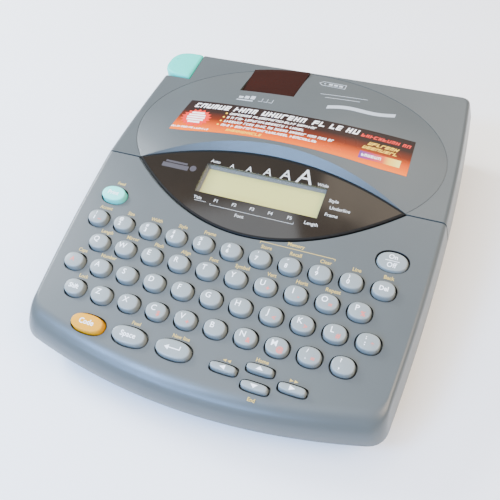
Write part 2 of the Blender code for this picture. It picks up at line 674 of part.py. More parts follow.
def build_drive():
    plate_low = CHASSIS_TOP - CHASSIS_THICKNESS
    plate = block((-0.0910, 0.0200, plate_low), (0.0130, 0.1120, CHASSIS_TOP))
    chassis = add("chassis_plate", plate, CHASSIS_DARK)
    join(chassis, add("idler_post", drum(IDLER, 0.0020, 0.0052, plate_low + 0.0005, 16)))
    holes = drum((MOTOR_X, MOTOR_Y), 0.0022, 0.0, 0.03, 16)
    drum((PLATEN_X, PLATEN_Y), 0.0022, 0.0, 0.03, 16, holes)
    drum(RIBBON, 0.0042, 0.0, 0.03, 16, holes)
    cut(chassis, add("chassis_holes", holes))

    can = drum((MOTOR_X, MOTOR_Y), MOTOR_RADIUS, CHASSIS_TOP + GAP, MOTOR_TOP, 28)
    motor = add("drive_motor", can, STEEL)
    cut(motor, add("motor_bore", drum((MOTOR_X, MOTOR_Y), 0.0014, 0.0, 0.018, 12)))
    centre = (MOTOR_X, MOTOR_Y)
    phase = partner_phase(centre, PINION_TEETH)
    pinion = gear("motor_pinion", centre, PINION_TEETH, phase, None, STEEL)
    join(pinion, add("pinion_shaft", drum(centre, 0.0010, 0.0080, 0.0170, 12)))

    gear("idler_gear", IDLER, IDLER_TEETH, 0.0, 0.0023, NYLON)

    centre = (PLATEN_X, PLATEN_Y)
    phase = partner_phase(centre, PLATEN_TEETH)
    platen = gear("platen_gear", centre, PLATEN_TEETH, phase, None, NYLON)
    join(platen, add("platen_shaft", drum(centre, 0.0016, 0.0080, ROLLER_TOP + GAP, 16)))
    roller = drum((0.0, 0.0), PLATEN_RADIUS, 0.0150, ROLLER_TOP, 28)
    roller = add("platen_roller", roller, RUBBER, at=(*centre, 0.0))
    cut(roller, add("roller_bore", drum(centre, 0.0019, 0.0, 0.06, 16)))

    phase = partner_phase(RIBBON, RIBBON_TEETH)
    ribbon = gear("ribbon_gear", RIBBON, RIBBON_TEETH, phase, None, NYLON)
    join(ribbon, add("ribbon_spindle", drum(RIBBON, 0.0035, 0.0080, 0.0300, 6)))

    low = CHASSIS_TOP + 0.0005
    arm = add("head_arm", block((0.0, -0.0015, low), (0.0190, 0.0015, HEAD_TOP)), STEEL,
              at=(*HEAD_PIVOT, 0.0))
    join(arm, add("head_arm_barrel", drum(HEAD_PIVOT, 0.0022, low, HEAD_TOP, 16)))
    head = block((-0.0895, 0.0798, 0.0150), (-0.0750, TAPE_Y - 0.0006, HEAD_TOP))
    add("print_head", head, CHASSIS_DARK)


def build_cassette():
    shell = add("tape_cassette", block(CASSETTE_MIN, CASSETTE_MAX), CASSETTE_GREY)
    hub = drum(RIBBON, 0.0048, 0.0, 0.0330, 20)
    label = block((CASSETTE_MIN[0] + 0.006, 0.064, CASSETTE_MAX[2] - 0.0008), (0.002, 0.104, 0.06))
    cut(shell, add("cassette_hub", hub), add("cassette_label_seat", label))
    half = TAPE_THICKNESS / 2
    low, high = (TAPE_END_X, TAPE_Y - half, TAPE_Z[0]), (CASSETTE_MIN[0] - GAP, TAPE_Y + half, TAPE_Z[1])
    add("label_tape", block(low, high), TAPE_WHITE)


# ---------------------------------------------------------------- cutter
def button_outline(inset):
    """A D: straight inner edge, and an outer side that swells past the casing."""
    straight = BUTTON_STRAIGHT_X - inset
    y_middle, half_y = sum(BUTTON_Y) / 2, (BUTTON_Y[1] - BUTTON_Y[0]) / 2 - inset
    flat = 0.006
    centre_x = BUTTON_STRAIGHT_X - flat
    reach = BUTTON_REACH - flat - inset
    points = [(straight, y_middle + half_y), (straight, y_middle - half_y)]
    steps, roundness = 12, 2.6
    for i in range(steps + 1):
        angle = -math.pi / 2 - math.pi * i / steps
        c, s = math.cos(angle), math.sin(angle)
        x = centre_x - reach * abs(c) ** (2 / roundness)
        points.append((x, y_middle + half_y * math.copysign(abs(s) ** (2 / roundness), s)))
    return points


def build_cutter():
    edge, wall = 0.0012, 0.0020
    button = add("cutter_button", loft([
        at_height(button_outline(wall), BUTTON_TOP - WALL),
        at_height(button_outline(wall), BUTTON_SKIRT),
        at_height(button_outline(0.0), BUTTON_SKIRT),
        at_height(button_outline(0.0), BUTTON_TOP - edge),
        at_height(button_outline(edge), BUTTON_TOP),
    ]), KEY_TEAL)
    join(button, add("button_stem", drum((STEM_X, STEM_Y), 0.0021, 0.0400, BUTTON_TOP - 0.0012, 16)))

    guide = block((-0.0965, 0.0942, 0.0135), (-0.0866, 0.1110, GUIDE_TOP))
    guide = add("cutter_guide", guide, CHASSIS_DARK)
    slot = block((BLADE_X - 0.0010, 0.0800, 0.0150), (BLADE_X + 0.0010, 0.1095, 0.0440))
    well = drum((STEM_X, STEM_Y), 0.0025, 0.0345, 0.06, 12)
    cut(guide, add("blade_slot", slot), add("stem_well", well))
    blade = block((BLADE_X - 0.0005, 0.0890, 0.0155), (BLADE_X + 0.0005, 0.1085, ROLLER_TOP))
    add("cutter_blade", blade, STEEL)

    turns, per_turn, radius, wire = 2, 12, 0.0030, 0.00035
    line = bpy.data.curves.new("cutter_spring", "CURVE")
    line.dimensions = "3D"
    line.bevel_depth = wire
    line.bevel_resolution = 1
    line.use_fill_caps = True
    spline = line.splines.new("POLY")
    count = turns * per_turn + 1
    spline.points.add(count - 1)
    for i in range(count):
        angle = math.tau * i / per_turn
        z = GUIDE_TOP + GAP + wire + 0.0018 * i / (count - 1)
        point = (STEM_X + radius * math.cos(angle), STEM_Y + radius * math.sin(angle), z, 1.0)
        spline.points[i].co = point
    line.materials.append(material(STEEL))
    spring = bpy.data.objects.new("cutter_spring", line)
    parts.objects.link(spring)


# ---------------------------------------------------------------- power and fasteners
def build_power():
    (x_low, y_low), (x_high, y_high) = BATTERY_BOX
    top, wall = BATTERY_BOX_TOP, BATTERY_BOX_WALL
    box = block((x_low, y_low, FLOOR_Z + GAP), (x_high, y_high, top))
    box = add("battery_box", box, CHASSIS_DARK)
    inside = block((x_low + wall, y_low + wall, -0.01), (x_high - wall, y_high - wall, top - wall))
    cut(box, add("battery_box_hollow", inside))
    margin = DOOR_MARGIN - DOOR_PLAY
    high = (x_high + margin, DOOR_END_Y, BASE_Z + DOOR_THICKNESS)
    door = add("battery_door", block((x_low - margin, y_low - margin, BASE_Z), high), ABS_BLUE)
    grips = bmesh.new()
    for y in (0.0980, 0.1020, 0.1060):
        low = (CELL_COLUMNS[1] - 0.010, y, 0.0)
        block(low, (CELL_COLUMNS[1] + 0.010, y + 0.0016, BASE_Z + 0.0006), grips)
    cut(door, add("door_grips", grips))
    number = 0
    for z in CELL_LEVELS:
        for x in CELL_COLUMNS:
            number += 1
            cell = rod((0.0, 0.0, 0.0), CELL_RADIUS, CELL_LENGTH - 0.001, "Y", 20)
            cell = add("battery_%d" % number, cell, CELL_GOLD, at=(x, CELL_Y, z))
            nub = rod((x, CELL_Y + CELL_LENGTH / 2 - 0.0008, z), 0.0026, 0.0016, "Y", 12)
            join(cell, add("battery_%d_nub" % number, nub))
    sheet = 0.0008
    fronts = {
        "battery_contacts_front": y_low + wall + GAP,
        "battery_contacts_rear": y_high - wall - GAP - sheet,
    }
    for name, y in fronts.items():
        low = (CELL_COLUMNS[0] - 0.006, y, 0.0080)
        add(name, block(low, (CELL_COLUMNS[-1] + 0.006, y + sheet, 0.0350)), STEEL)
    half = 0.006
    jack = block((JACK_X - half, 0.1020, JACK_Z - half), (JACK_X + half, 0.1125, JACK_Z + half))
    jack = add("power_jack", jack, RUBBER)
    cut(jack, add("jack_bore", rod((JACK_X, 0.1110, JACK_Z), 0.0028, 0.012, "Y")))
    join(jack, add("jack_pin", rod((JACK_X, 0.1085, JACK_Z), 0.0009, 0.0074, "Y", 8)))


def build_fasteners():
    for name, centre in FOOT_CENTRES.items():
        add(name, drum(centre, FOOT_RADIUS, 0.0, BASE_Z - GAP, 24), RUBBER)
    for number, centre in enumerate(SCREW_CENTRES, 1):
        head = drum(centre, SCREW_HEAD_RADIUS, BASE_Z - 0.0002, BASE_Z + 0.0009, 16)
        head = add("case_screw_%d" % number, head, STEEL)
        shank = drum(centre, SCREW_SHANK_RADIUS, BASE_Z + 0.0005, 0.0150, 10)
        join(head, add("case_screw_shank_%d" % number, shank))
    for side, x in zip(("left", "right"), HINGE_X):
        pin = rod((x, HINGE_Y, HINGE_Z), HINGE_PIN_RADIUS, 0.0180, "X", 12)
        add("hinge_pin_" + side, pin, STEEL)


build_lower_case()
build_upper_case()
build_tape_cover()
build_tape_window()
build_display()
build_key_rows()
build_special_keys()
build_boards()
build_drive()
build_cassette()
build_cutter()
build_power()
build_fasteners()

for piece in parts.objects:
    if piece.type == "MESH":
        piece.data.shade_smooth()
        piece.data.set_sharp_from_angle(angle=math.radians(35.0))
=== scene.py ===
"""Looks of the desktop label maker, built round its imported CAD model.

Fine casing shells, rounded keys, the display, printed legends, the promotional decal and the
parts under the tape cover, all with procedural materials. Units are metres, +Y is the rear.
"""

import math
import random

import bmesh
import bpy
from mathutils import Euler, Matrix, Vector

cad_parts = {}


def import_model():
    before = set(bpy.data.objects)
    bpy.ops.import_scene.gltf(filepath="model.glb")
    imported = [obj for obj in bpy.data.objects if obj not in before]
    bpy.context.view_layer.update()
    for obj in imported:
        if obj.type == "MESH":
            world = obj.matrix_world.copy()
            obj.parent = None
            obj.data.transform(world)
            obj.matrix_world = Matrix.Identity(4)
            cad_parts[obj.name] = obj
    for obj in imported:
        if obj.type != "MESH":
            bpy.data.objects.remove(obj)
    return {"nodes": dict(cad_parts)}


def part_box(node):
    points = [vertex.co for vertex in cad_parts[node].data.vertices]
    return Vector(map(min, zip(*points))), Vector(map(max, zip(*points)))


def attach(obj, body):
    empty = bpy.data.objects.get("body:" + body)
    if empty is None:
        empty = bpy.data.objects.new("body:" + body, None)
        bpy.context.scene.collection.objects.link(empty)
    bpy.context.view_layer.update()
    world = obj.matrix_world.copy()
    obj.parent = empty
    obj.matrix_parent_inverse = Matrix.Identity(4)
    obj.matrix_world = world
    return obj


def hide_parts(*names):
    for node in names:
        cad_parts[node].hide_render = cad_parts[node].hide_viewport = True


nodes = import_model()["nodes"]
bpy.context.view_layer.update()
CASING = "casing"
CUT, JOIN = "DIFFERENCE", "UNION"

# ---------------------------------------------------------------- dimensions
HALF_WIDTH, FRONT_Y, FRONT_CORNER_Y, REAR_Y = 0.108, -0.1205, -0.106, 0.1205
SIDE_BOW_RADIUS = 1.19
SPLIT_Y, SPLIT_Z = 0.013, 0.05
DECK_TILT, COVER_TILT = math.radians(8.5), math.radians(2.5)
RIM_DEPTH, SIDE_DRAFT, EDGE_RADIUS, NOSE_RADIUS = 0.013, 0.003, 0.0024, 0.013
WALL, GAP, SEAM, FAR = 0.0025, 0.0003, 0.0009, 0.3
BASE_Z = 0.002
FLOOR_Z = BASE_Z + WALL
# Insets of the base at its foot, over the foot's chamfer and at the floor: side, front, rear.
FOOT, CHAMFER, FLOOR = (0.0085, 0.011, 0.0055), (0.0072, 0.0096, 0.0042), (0.006, 0.0085, 0.003)
# Depths of the rings under the top: every 10 degrees of the nose's round, and steps of the edge's.
FINE_LEVELS = (0.013, 0.01074, 0.00855, 0.0065, 0.00464, 0.00304, 0.0024, 0.00174,
               0.0012, 0.00078, 0.00045, 0.0002, 0.00005, 0.0)
PLAIN_LEVELS = (0.013, 0.009, 0.0055, 0.0028, 0.001, 0.0)

KEYS_X, MIDDLE_COLUMN, KEY_PITCH = -0.002, 5.0, 0.017
KEY_HALF, KEY_ROUNDNESS, KEY_ROOM = (0.0061, 0.005), 2.3, 0.0006
KEY_TOP, ON_OFF_TOP = 0.0034, 0.001
WEB_TOP, WEB_THICKNESS = -0.004, 0.001
KEY_ROWS = {
    "key_row_numbers": (-0.049, 0.0, 10.0),
    "key_row_q": (-0.0642, 0.5, 9.5),
    "key_row_a": (-0.0792, 0.0, 10.0),
    "key_row_z": (-0.0945, 0.5, 9.5),
}
WIDE_KEY, CURSOR_KEY = ((0.0098, 0.0051), 2.4), ((0.0071, 0.0023), 3.6)
SPECIAL_KEYS = {
    "print_key": ((-0.0852, -0.0313), (0.0078, 0.0054), 2.2),
    "on_off_key": ((0.0832, -0.0308), (0.0083, 0.006), 2.2),
    "code_key": ((-0.061, -0.1119), *WIDE_KEY),
    "space_key": ((-0.0358, -0.1117), *WIDE_KEY),
    "return_key": ((-0.01, -0.1116), *WIDE_KEY),
    "cursor_left_key": ((0.0184, -0.113), *CURSOR_KEY),
    "cursor_up_key": ((0.0364, -0.1082), *CURSOR_KEY),
    "cursor_down_key": ((0.0366, -0.1174), *CURSOR_KEY),
    "cursor_right_key": ((0.0546, -0.1129), *CURSOR_KEY),
}
KEY_CROWN, KEY_ROUND, KEY_TAPER = 0.0003, 0.0009, 0.0003
KEY_INK = {"high": 0.00006, "step": 0.001}      # height of the print, and grid it is cut along

LENS_TIP_X, LENS_TIP_GROWTH, LENS_FRONT_SAG, LENS_REAR_SAG = 0.083, 1.6, 0.037, 0.02
LENS_EDGE = 0.0012              # width of the panel's black rim
LENS_TOP, LENS_THICKNESS = 0.0004, 0.0016
TRAY_TOP, TRAY_THICKNESS = LENS_TOP - LENS_THICKNESS - GAP, 0.002
DISPLAY_MIN, DISPLAY_MAX = (-0.04, -0.0165), (0.038, 0.007)
DOME_CENTRE, DOME_HALF, DOME_HEIGHT = 0.036, (0.098, 0.066), 0.008
FILM_GRID = 0.003               # films on the crown are cut along this grid, to follow it
BEVEL_HEIGHT = 0.01
WINDOW_MIN, WINDOW_MAX_X = (-0.0422, 0.0702), -0.0056
WINDOW_SKEW, WINDOW_REAR_GAP = (0.001, 0.0016), 0.001
HINGE_Y, HINGE_Z, HINGE_RADIUS, HINGE_X = 0.1162, 0.0475, 0.0026, (-0.066, 0.066)
LUG_WIDTH, KNUCKLE_WIDTH, HINGE_PLAY, HINGE_BORE = 0.007, 0.007, 0.0005, 0.0013
TAPE_Y = 0.084
BUTTON_STRAIGHT_X, BUTTON_Y, BUTTON_REACH = -0.084, (0.0908, 0.1172), 0.0215
BUTTON_TOP, BUTTON_SKIRT, STEM = 0.0556, 0.0446, (-0.0896, 0.104)

DECK = Matrix.Translation((0, SPLIT_Y, SPLIT_Z)) @ Matrix.Rotation(DECK_TILT, 4, "X")
COVER = Matrix.Translation((0, SPLIT_Y, SPLIT_Z)) @ Matrix.Rotation(COVER_TILT, 4, "X")
UPRIGHT = Matrix.Identity(4)


# ---------------------------------------------------------------- materials
def put(node, values):
    for socket, value in values.items():
        node.inputs[socket].default_value = value


def node_material(name):
    made = bpy.data.materials.new(name)
    made.use_nodes = True
    tree = made.node_tree
    return made, tree, tree.nodes["Principled BSDF"]


def noise(tree, scale, detail=4.0, stretch=(1.0, 1.0, 1.0), roughness=0.5):
    """A noise texture in the object's own metres."""
    place = tree.nodes.new("ShaderNodeTexCoord")
    mapping = tree.nodes.new("ShaderNodeMapping")
    put(mapping, {"Scale": stretch})
    texture = tree.nodes.new("ShaderNodeTexNoise")
    put(texture, {"Scale": scale, "Detail": detail, "Roughness": roughness})
    tree.links.new(place.outputs["Object"], mapping.inputs["Vector"])
    tree.links.new(mapping.outputs["Vector"], texture.inputs["Vector"])
    return texture


def ramp(tree, source, stops):
    """A colour ramp over a factor; stops are (place, colour)."""
    node = tree.nodes.new("ShaderNodeValToRGB")
    elements = node.color_ramp.elements
    while len(elements) < len(stops):
        elements.new(0.5)
    for element, (place, colour) in zip(elements, stops):
        element.position = place
        element.color = (*colour, 1.0)
    tree.links.new(source, node.inputs["Fac"])
    return node


def tint(colour, share):
    return tuple(max(0.0, c * share) for c in colour)


def gloss(tree, shader, source, low, high):
    """Roughness that follows a texture from one value to another."""
    spread = tree.nodes.new("ShaderNodeMapRange")
    put(spread, {"To Min": low, "To Max": high})
    tree.links.new(source, spread.inputs["Value"])
    tree.links.new(spread.outputs["Result"], shader.inputs["Roughness"])


def relief(tree, shader, source, strength, depth):
    bump = tree.nodes.new("ShaderNodeBump")
    put(bump, {"Strength": strength, "Distance": depth})
    tree.links.new(source, bump.inputs["Height"])
    tree.links.new(bump.outputs["Normal"], shader.inputs["Normal"])


def bricks(tree, shader, scale, mortar, colours):
    """A pattern of bricks in the object's own metres: two kinds of brick, and their mortar."""
    place = tree.nodes.new("ShaderNodeTexCoord")
    pattern = tree.nodes.new("ShaderNodeTexBrick")
    one, other, between = ((*colour, 1.0) for colour in colours)
    put(pattern, {"Scale": scale, "Mortar Size": mortar, "Color1": one, "Color2": other,
                  "Mortar": between})
    tree.links.new(place.outputs["Object"], pattern.inputs["Vector"])
    tree.links.new(pattern.outputs["Color"], shader.inputs["Base Color"])
    return pattern


def fade(tree, shader, direction, stops):
    """Colours that run across a film, along X or Y of its own map."""
    place = tree.nodes.new("ShaderNodeUVMap")
    split = tree.nodes.new("ShaderNodeSeparateXYZ")
    tree.links.new(place.outputs["UV"], split.inputs["Vector"])
    shade = ramp(tree, split.outputs[direction], stops)
    tree.links.new(shade.outputs["Color"], shader.inputs["Base Color"])


def plastic(name, colour, roughness=0.45, grain=1500.0, bump=0.12, mottle=0.06, scuff=0.0,
            specular=0.5):
    """Moulded plastic: spark-eroded grain, slow colour drift, handling marks in the gloss."""
    made, tree, shader = node_material(name)
    link = tree.links.new
    slow = noise(tree, 22.0, 3.0)
    colours = ramp(tree, slow.outputs["Fac"], [
        (0.3, tint(colour, 1.0 - mottle)), (0.7, tint(colour, 1.0 + mottle))])
    out = colours.outputs["Color"]
    if scuff:
        marks = noise(tree, 55.0, 9.0, (0.35, 2.4, 1.0), 0.72)
        wear = ramp(tree, marks.outputs["Fac"], [(0.6, (0, 0, 0)), (0.74, (1, 1, 1))])
        mix = tree.nodes.new("ShaderNodeMix")
        mix.data_type = "RGBA"
        share = tree.nodes.new("ShaderNodeMath")
        share.operation = "MULTIPLY"
        put(share, {1: scuff})
        link(wear.outputs["Color"], share.inputs[0])
        link(share.outputs["Value"], mix.inputs["Factor"])
        link(out, mix.inputs["A"])
        put(mix, {"B": (*tint(colour, 1.45), 1.0)})
        out = mix.outputs["Result"]
    link(out, shader.inputs["Base Color"])
    gloss(tree, shader, noise(tree, 60.0, 5.0).outputs["Fac"], roughness - 0.06, roughness + 0.07)
    relief(tree, shader, noise(tree, grain, 2.0).outputs["Fac"], bump, 0.0002)
    put(shader, {"Specular IOR Level": specular})
    return made


def metal(name, colour, roughness, streak):
    """Rolled or turned metal with fine streaks."""
    made, tree, shader = node_material(name)
    lines = noise(tree, 300.0, 4.0, streak).outputs["Fac"]
    colours = ramp(tree, lines, [(0.3, tint(colour, 0.82)), (0.7, tint(colour, 1.08))])
    tree.links.new(colours.outputs["Color"], shader.inputs["Base Color"])
    gloss(tree, shader, lines, roughness - 0.08, roughness + 0.1)
    relief(tree, shader, lines, 0.1, 0.0001)
    put(shader, {"Metallic": 1.0})
    return made


def clear_sheet(name, colour, roughness, alpha, specular=0.5):
    """Transparent moulding, with faint wipe marks in its gloss."""
    made, tree, shader = node_material(name)
    haze = noise(tree, 30.0, 6.0, (1.0, 3.0, 1.0)).outputs["Fac"]
    colours = ramp(tree, haze, [(0.35, tint(colour, 0.9)), (0.7, tint(colour, 1.15))])
    tree.links.new(colours.outputs["Color"], shader.inputs["Base Color"])
    gloss(tree, shader, haze, roughness, roughness + 0.07)
    put(shader, {"Alpha": alpha, "Specular IOR Level": specular})
    return made


def ink(name, colour, roughness=0.5):
    """Screen-printed ink, a little uneven in density."""
    return plastic(name, colour, roughness, 2600.0, 0.05, 0.05)


def decal_paper(name):
    """Printed gloss film: dark brown at the top, through red-brown, to orange at the bottom."""
    made, tree, shader = node_material(name)
    fade(tree, shader, "Y", [
        (0.0, (0.84, 0.15, 0.005)), (0.24, (0.58, 0.07, 0.004)), (0.44, (0.13, 0.018, 0.005)),
        (0.66, (0.024, 0.011, 0.008)), (1.0, (0.018, 0.011, 0.009))])
    gloss(tree, shader, noise(tree, 40.0, 4.0).outputs["Fac"], 0.22, 0.34)
    put(shader, {"Specular IOR Level": 0.15})
    return made


def badge_print(name):
    """The small badge: purple, through red, to yellow, from left to right."""
    made, tree, shader = node_material(name)
    fade(tree, shader, "X", [
        (0.0, (0.09, 0.012, 0.2)), (0.3, (0.34, 0.012, 0.09)), (0.58, (0.62, 0.06, 0.015)),
        (0.74, (0.8, 0.46, 0.04)), (1.0, (0.8, 0.66, 0.15))])
    put(shader, {"Roughness": 0.3})
    return made


def liquid_crystal(name):
    """The display's pale green glass, with its faint field of dots."""
    made, tree, shader = node_material(name)
    dots = bricks(tree, shader, 1400.0, 0.08, (
        (0.5, 0.47, 0.1), (0.51, 0.48, 0.106), (0.54, 0.51, 0.126)))
    dots.offset = 0.0
    gloss(tree, shader, noise(tree, 25.0, 3.0).outputs["Fac"], 0.28, 0.4)
    return made


def circuit(name):
    """Green solder mask over copper tracks."""
    made, tree, shader = node_material(name)
    bricks(tree, shader, 160.0, 0.05, ((0.015, 0.15, 0.06), (0.02, 0.18, 0.075), (0.05, 0.3, 0.11)))
    put(shader, {"Roughness": 0.35})
    return made


SHELL = plastic("shell_blue_grey", (0.065, 0.074, 0.072), 0.32, bump=0.16, mottle=0.035, scuff=0.08,
                specular=0.55)
KEY_LOOK = plastic("key_grey", (0.211, 0.236, 0.228), 0.34, 2400.0, 0.06, 0.03, 0.05)
MINT = plastic("key_mint", (0.14, 0.76, 0.64), 0.36, 2400.0, 0.06, 0.03, specular=0.3)
AMBER = plastic("key_amber", (0.68, 0.3, 0.006), 0.36, 2400.0, 0.06, 0.04, specular=0.15)
TEAL = plastic("button_teal", (0.03, 0.6, 0.48), 0.38, 1600.0, 0.14, 0.04, 0.06, specular=0.2)
SMOKED = plastic("smoked_panel", (0.01, 0.006, 0.003), 0.08, 60.0, 0.01, 0.25, specular=0.45)
# Black for the lens panel's own rim, and painted shade on the walls of the deck's key holes.
BLACK_RIM_AND_PAINTED_SHADE = plastic("black_rim_and_painted_shade", (0.005, 0.005, 0.005), 0.34, 900.0, 0.05, 0.1, specular=0.15)
DARK = plastic("chassis_dark", (0.035, 0.038, 0.042), 0.5, 900.0, 0.22, 0.1)
FRAME_GREY = plastic("display_surround", (0.08, 0.074, 0.056), 0.5, 1500.0, 0.08, 0.05)
CLEAR = clear_sheet("clear_window", (0.5, 0.5, 0.42), 0.05, 0.05, 0.3)
RED_WINDOW = clear_sheet("red_window", (0.022, 0.003, 0.001), 0.1, 0.82, 0.3)
LCD = liquid_crystal("display_glass")
BOARD = circuit("circuit_board")
NYLON = plastic("nylon_gear", (0.5, 0.48, 0.42), 0.45, 1200.0, 0.1, 0.03)
STEEL = metal("steel", (0.43, 0.44, 0.46), 0.3, (1.0, 6.0, 1.0))
RUBBER = plastic("rubber", (0.02, 0.02, 0.022), 0.8, 900.0, 0.3, 0.15)
CASSETTE = plastic("cassette_grey", (0.18, 0.18, 0.18), 0.5, 1300.0, 0.16, 0.04)
PAPER = plastic("label_paper", (0.65, 0.65, 0.62), 0.55, 3000.0, 0.05, 0.03)
CELL = plastic("cell_jacket", (0.3, 0.16, 0.025), 0.28, 800.0, 0.04, 0.08)
WHITE_INK = ink("white_ink", (0.9, 0.92, 0.92))
SOFT_WHITE_INK = ink("soft_white_ink", (0.42, 0.45, 0.47))
YELLOW_INK = ink("yellow_ink", (0.52, 0.37, 0.09))
RED_INK = ink("red_ink", (0.64, 0.14, 0.11))
LENS_INK = ink("lens_ink", (0.52, 0.52, 0.49))
MAUVE_INK = ink("mauve_ink", (0.03, 0.024, 0.031))
DECAL = decal_paper("decal_film")
BADGE = badge_print("badge_film")
DECAL_RED = ink("decal_red", (0.7, 0.022, 0.012), 0.3)
DECAL_YELLOW = ink("decal_yellow", (0.86, 0.5, 0.03), 0.3)
DECAL_WHITE = ink("decal_white", (0.9, 0.86, 0.8), 0.3)
DECAL_DARK = ink("decal_dark", (0.06, 0.025, 0.018), 0.3)


# ---------------------------------------------------------------- solids
def loft(rings, seam_y=None, mesh=None):
    """A closed solid through equal rings; a seam parts each cap into its two flat halves."""
    mesh = mesh or bmesh.new()
    loops = [[mesh.verts.new(point) for point in ring] for ring in rings]
    for lower, upper in zip(loops, loops[1:]):
        for i, vertex in enumerate(lower):
            mesh.faces.new((lower[i - 1], vertex, upper[i], upper[i - 1]))
    for loop in (loops[0], loops[-1]):
        ends = [i for i, v in enumerate(loop) if seam_y is not None and abs(v.co.y - seam_y) < 1e-6]
        if ends:
            first, last = ends
            mesh.faces.new(loop[first:last + 1])
            mesh.faces.new(loop[last:] + loop[:first + 1])
        else:
            mesh.faces.new(loop)
    return mesh


def oval(half_x, half_y, roundness=2.3, count=40):
    points = []
    for i in range(count):
        angle = math.tau * (i + 0.5) / count
        c, s = math.cos(angle), math.sin(angle)
        x = half_x * math.copysign(abs(c) ** (2 / roundness), c)
        y = half_y * math.copysign(abs(s) ** (2 / roundness), s)
        points.append((x, y))
    return points


def at_height(outline, z, centre=(0.0, 0.0)):
    return [(x + centre[0], y + centre[1], z) for x, y in outline]


def prism(outline, z_low, z_high, mesh=None):
    return loft([at_height(outline, z_low), at_height(outline, z_high)], mesh=mesh)


def block(low, high, mesh=None):
    mesh = mesh or bmesh.new()
    low, high = Vector(low), Vector(high)
    for vertex in bmesh.ops.create_cube(mesh, size=1.0)["verts"]:
        vertex.co = (low + high) / 2 + Vector(a * b for a, b in zip(vertex.co, high - low))
    return mesh


def tube(centre, radius, length, turn=(0, 0, 1), segments=32, mesh=None):
    """A cylinder about its centre, along the given direction."""
    mesh = mesh or bmesh.new()
    made = bmesh.ops.create_cone(
        mesh, cap_ends=True, segments=segments, radius1=radius, radius2=radius, depth=length)["verts"]
    rotation = Vector((0, 0, 1)).rotation_difference(Vector(turn)).to_matrix()
    bmesh.ops.rotate(mesh, verts=made, cent=(0, 0, 0), matrix=rotation)
    bmesh.ops.translate(mesh, verts=made, vec=centre)
    return mesh


def soft_block(low, high, edge, mesh=None):
    """A box with chamfered edges."""
    made = block(low, high)
    bmesh.ops.bevel(made, geom=made.edges[:], offset=edge, segments=2, profile=0.5, affect="EDGES")
    if mesh is None:
        return made
    data = bpy.data.meshes.new("scratch")
    made.to_mesh(data)
    made.free()
    mesh.from_mesh(data)
    bpy.data.meshes.remove(data)
    return mesh


def add_object(name, data):
    made = bpy.data.objects.new(name, data)
    bpy.context.scene.collection.objects.link(made)
    return made


def dress(piece, *looks):
    piece.data.materials.clear()
    for look in looks:
        piece.data.materials.append(look)


def solid(mesh, place=UPRIGHT):
    """A temporary object of a bmesh, for the Booleans."""
    bmesh.ops.recalc_face_normals(mesh, faces=mesh.faces)
    mesh.transform(place)
    data = bpy.data.meshes.new("solid")
    mesh.to_mesh(data)
    mesh.free()
    return add_object("solid", data)


def carve(base, *steps):
    """The base with each (operation, solid) applied in turn; the pieces used up are removed."""
    for operation, tool in steps:
        modifier = base.modifiers.new("step", "BOOLEAN")
        modifier.operation, modifier.object, modifier.solver = operation, tool, "EXACT"
    graph = bpy.context.evaluated_depsgraph_get()
    made = add_object("solid", bpy.data.meshes.new_from_object(base.evaluated_get(graph)))
    for used in [base] + [tool for _, tool in steps]:
        bpy.data.objects.remove(used, do_unlink=True)
    return made


def show(name, source, look, body, replaces=(), angle=32.0, place=UPRIGHT, weighted=False):
    """Finish a piece: smooth it by angle, give it its material, and let it ride on its body."""
    piece = source if isinstance(source, bpy.types.Object) else solid(source, place)
    piece.name = piece.data.name = name
    dress(piece, *(look if isinstance(look, list) else [look]))
    piece.data.shade_smooth()
    piece.data.set_sharp_from_angle(angle=math.radians(angle))
    if weighted:
        modifier = piece.modifiers.new("weighted", "WEIGHTED_NORMAL")
        modifier.keep_sharp = True
    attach(piece, body)
    if replaces:
        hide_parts(*replaces)
    return piece


# ---------------------------------------------------------------- casing outline
def half_width(y, inset):
    return HALF_WIDTH - inset - (y - SPLIT_Y) ** 2 / (2 * SIDE_BOW_RADIUS)


def top_z(y):
    return SPLIT_Z + (y - SPLIT_Y) * math.tan(DECK_TILT if y < SPLIT_Y else COVER_TILT)


def bend(start, corner, end, count):
    return [start * (1 - t) ** 2 + corner * (2 * t * (1 - t)) + end * t ** 2
            for t in (i / count for i in range(1, count))]


def casing_outline(side, front, rear):
    """Plan of the casing moved in by three insets, counter-clockwise from the left front."""
    front_round, rear_round, steps = 0.008, 0.005, 12
    corner_y, rear_y = FRONT_CORNER_Y + front, REAR_Y - rear
    corner_x = half_width(corner_y, side)

    def front_point(x):
        sag = FRONT_CORNER_Y - FRONT_Y
        return Vector((x, corner_y - sag * (1 - (x / corner_x) ** 2)))

    def side_point(y):
        return Vector((half_width(y, side), y))

    side_start, side_end = corner_y + front_round, rear_y - rear_round
    right = [front_point(corner_x - front_round)]
    right += bend(right[0], front_point(corner_x), side_point(side_start), 8)
    right += [side_point(side_start + i * (SPLIT_Y - side_start) / steps) for i in range(steps)]
    right += [side_point(SPLIT_Y + i * (side_end - SPLIT_Y) / steps) for i in range(steps + 1)]
    corner = side_point(rear_y)
    rear_start = Vector((corner.x - rear_round, rear_y))
    right += bend(right[-1], corner, rear_start, 6) + [rear_start]
    left = [Vector((-p.x, p.y)) for p in reversed(right)]
    span = corner_x - front_round
    middle = [front_point(-span + 2 * span * i / 32) for i in range(1, 32)]
    return middle + right + left


def fillet(drop, radius):
    height = max(radius - drop, 0.0)
    return radius - math.sqrt(radius ** 2 - height ** 2)


def rim_ring(drop, grow=0.0, lower=0.0):
    """Ring of the upper casing at a depth under the top, shrunk by a wall for the inside."""
    side = SIDE_DRAFT * (RIM_DEPTH - drop) / RIM_DEPTH + fillet(drop, EDGE_RADIUS) + grow
    outline = casing_outline(side, fillet(drop, NOSE_RADIUS) + grow, side)
    return [(p.x, p.y, top_z(p.y) - drop - lower) for p in outline]


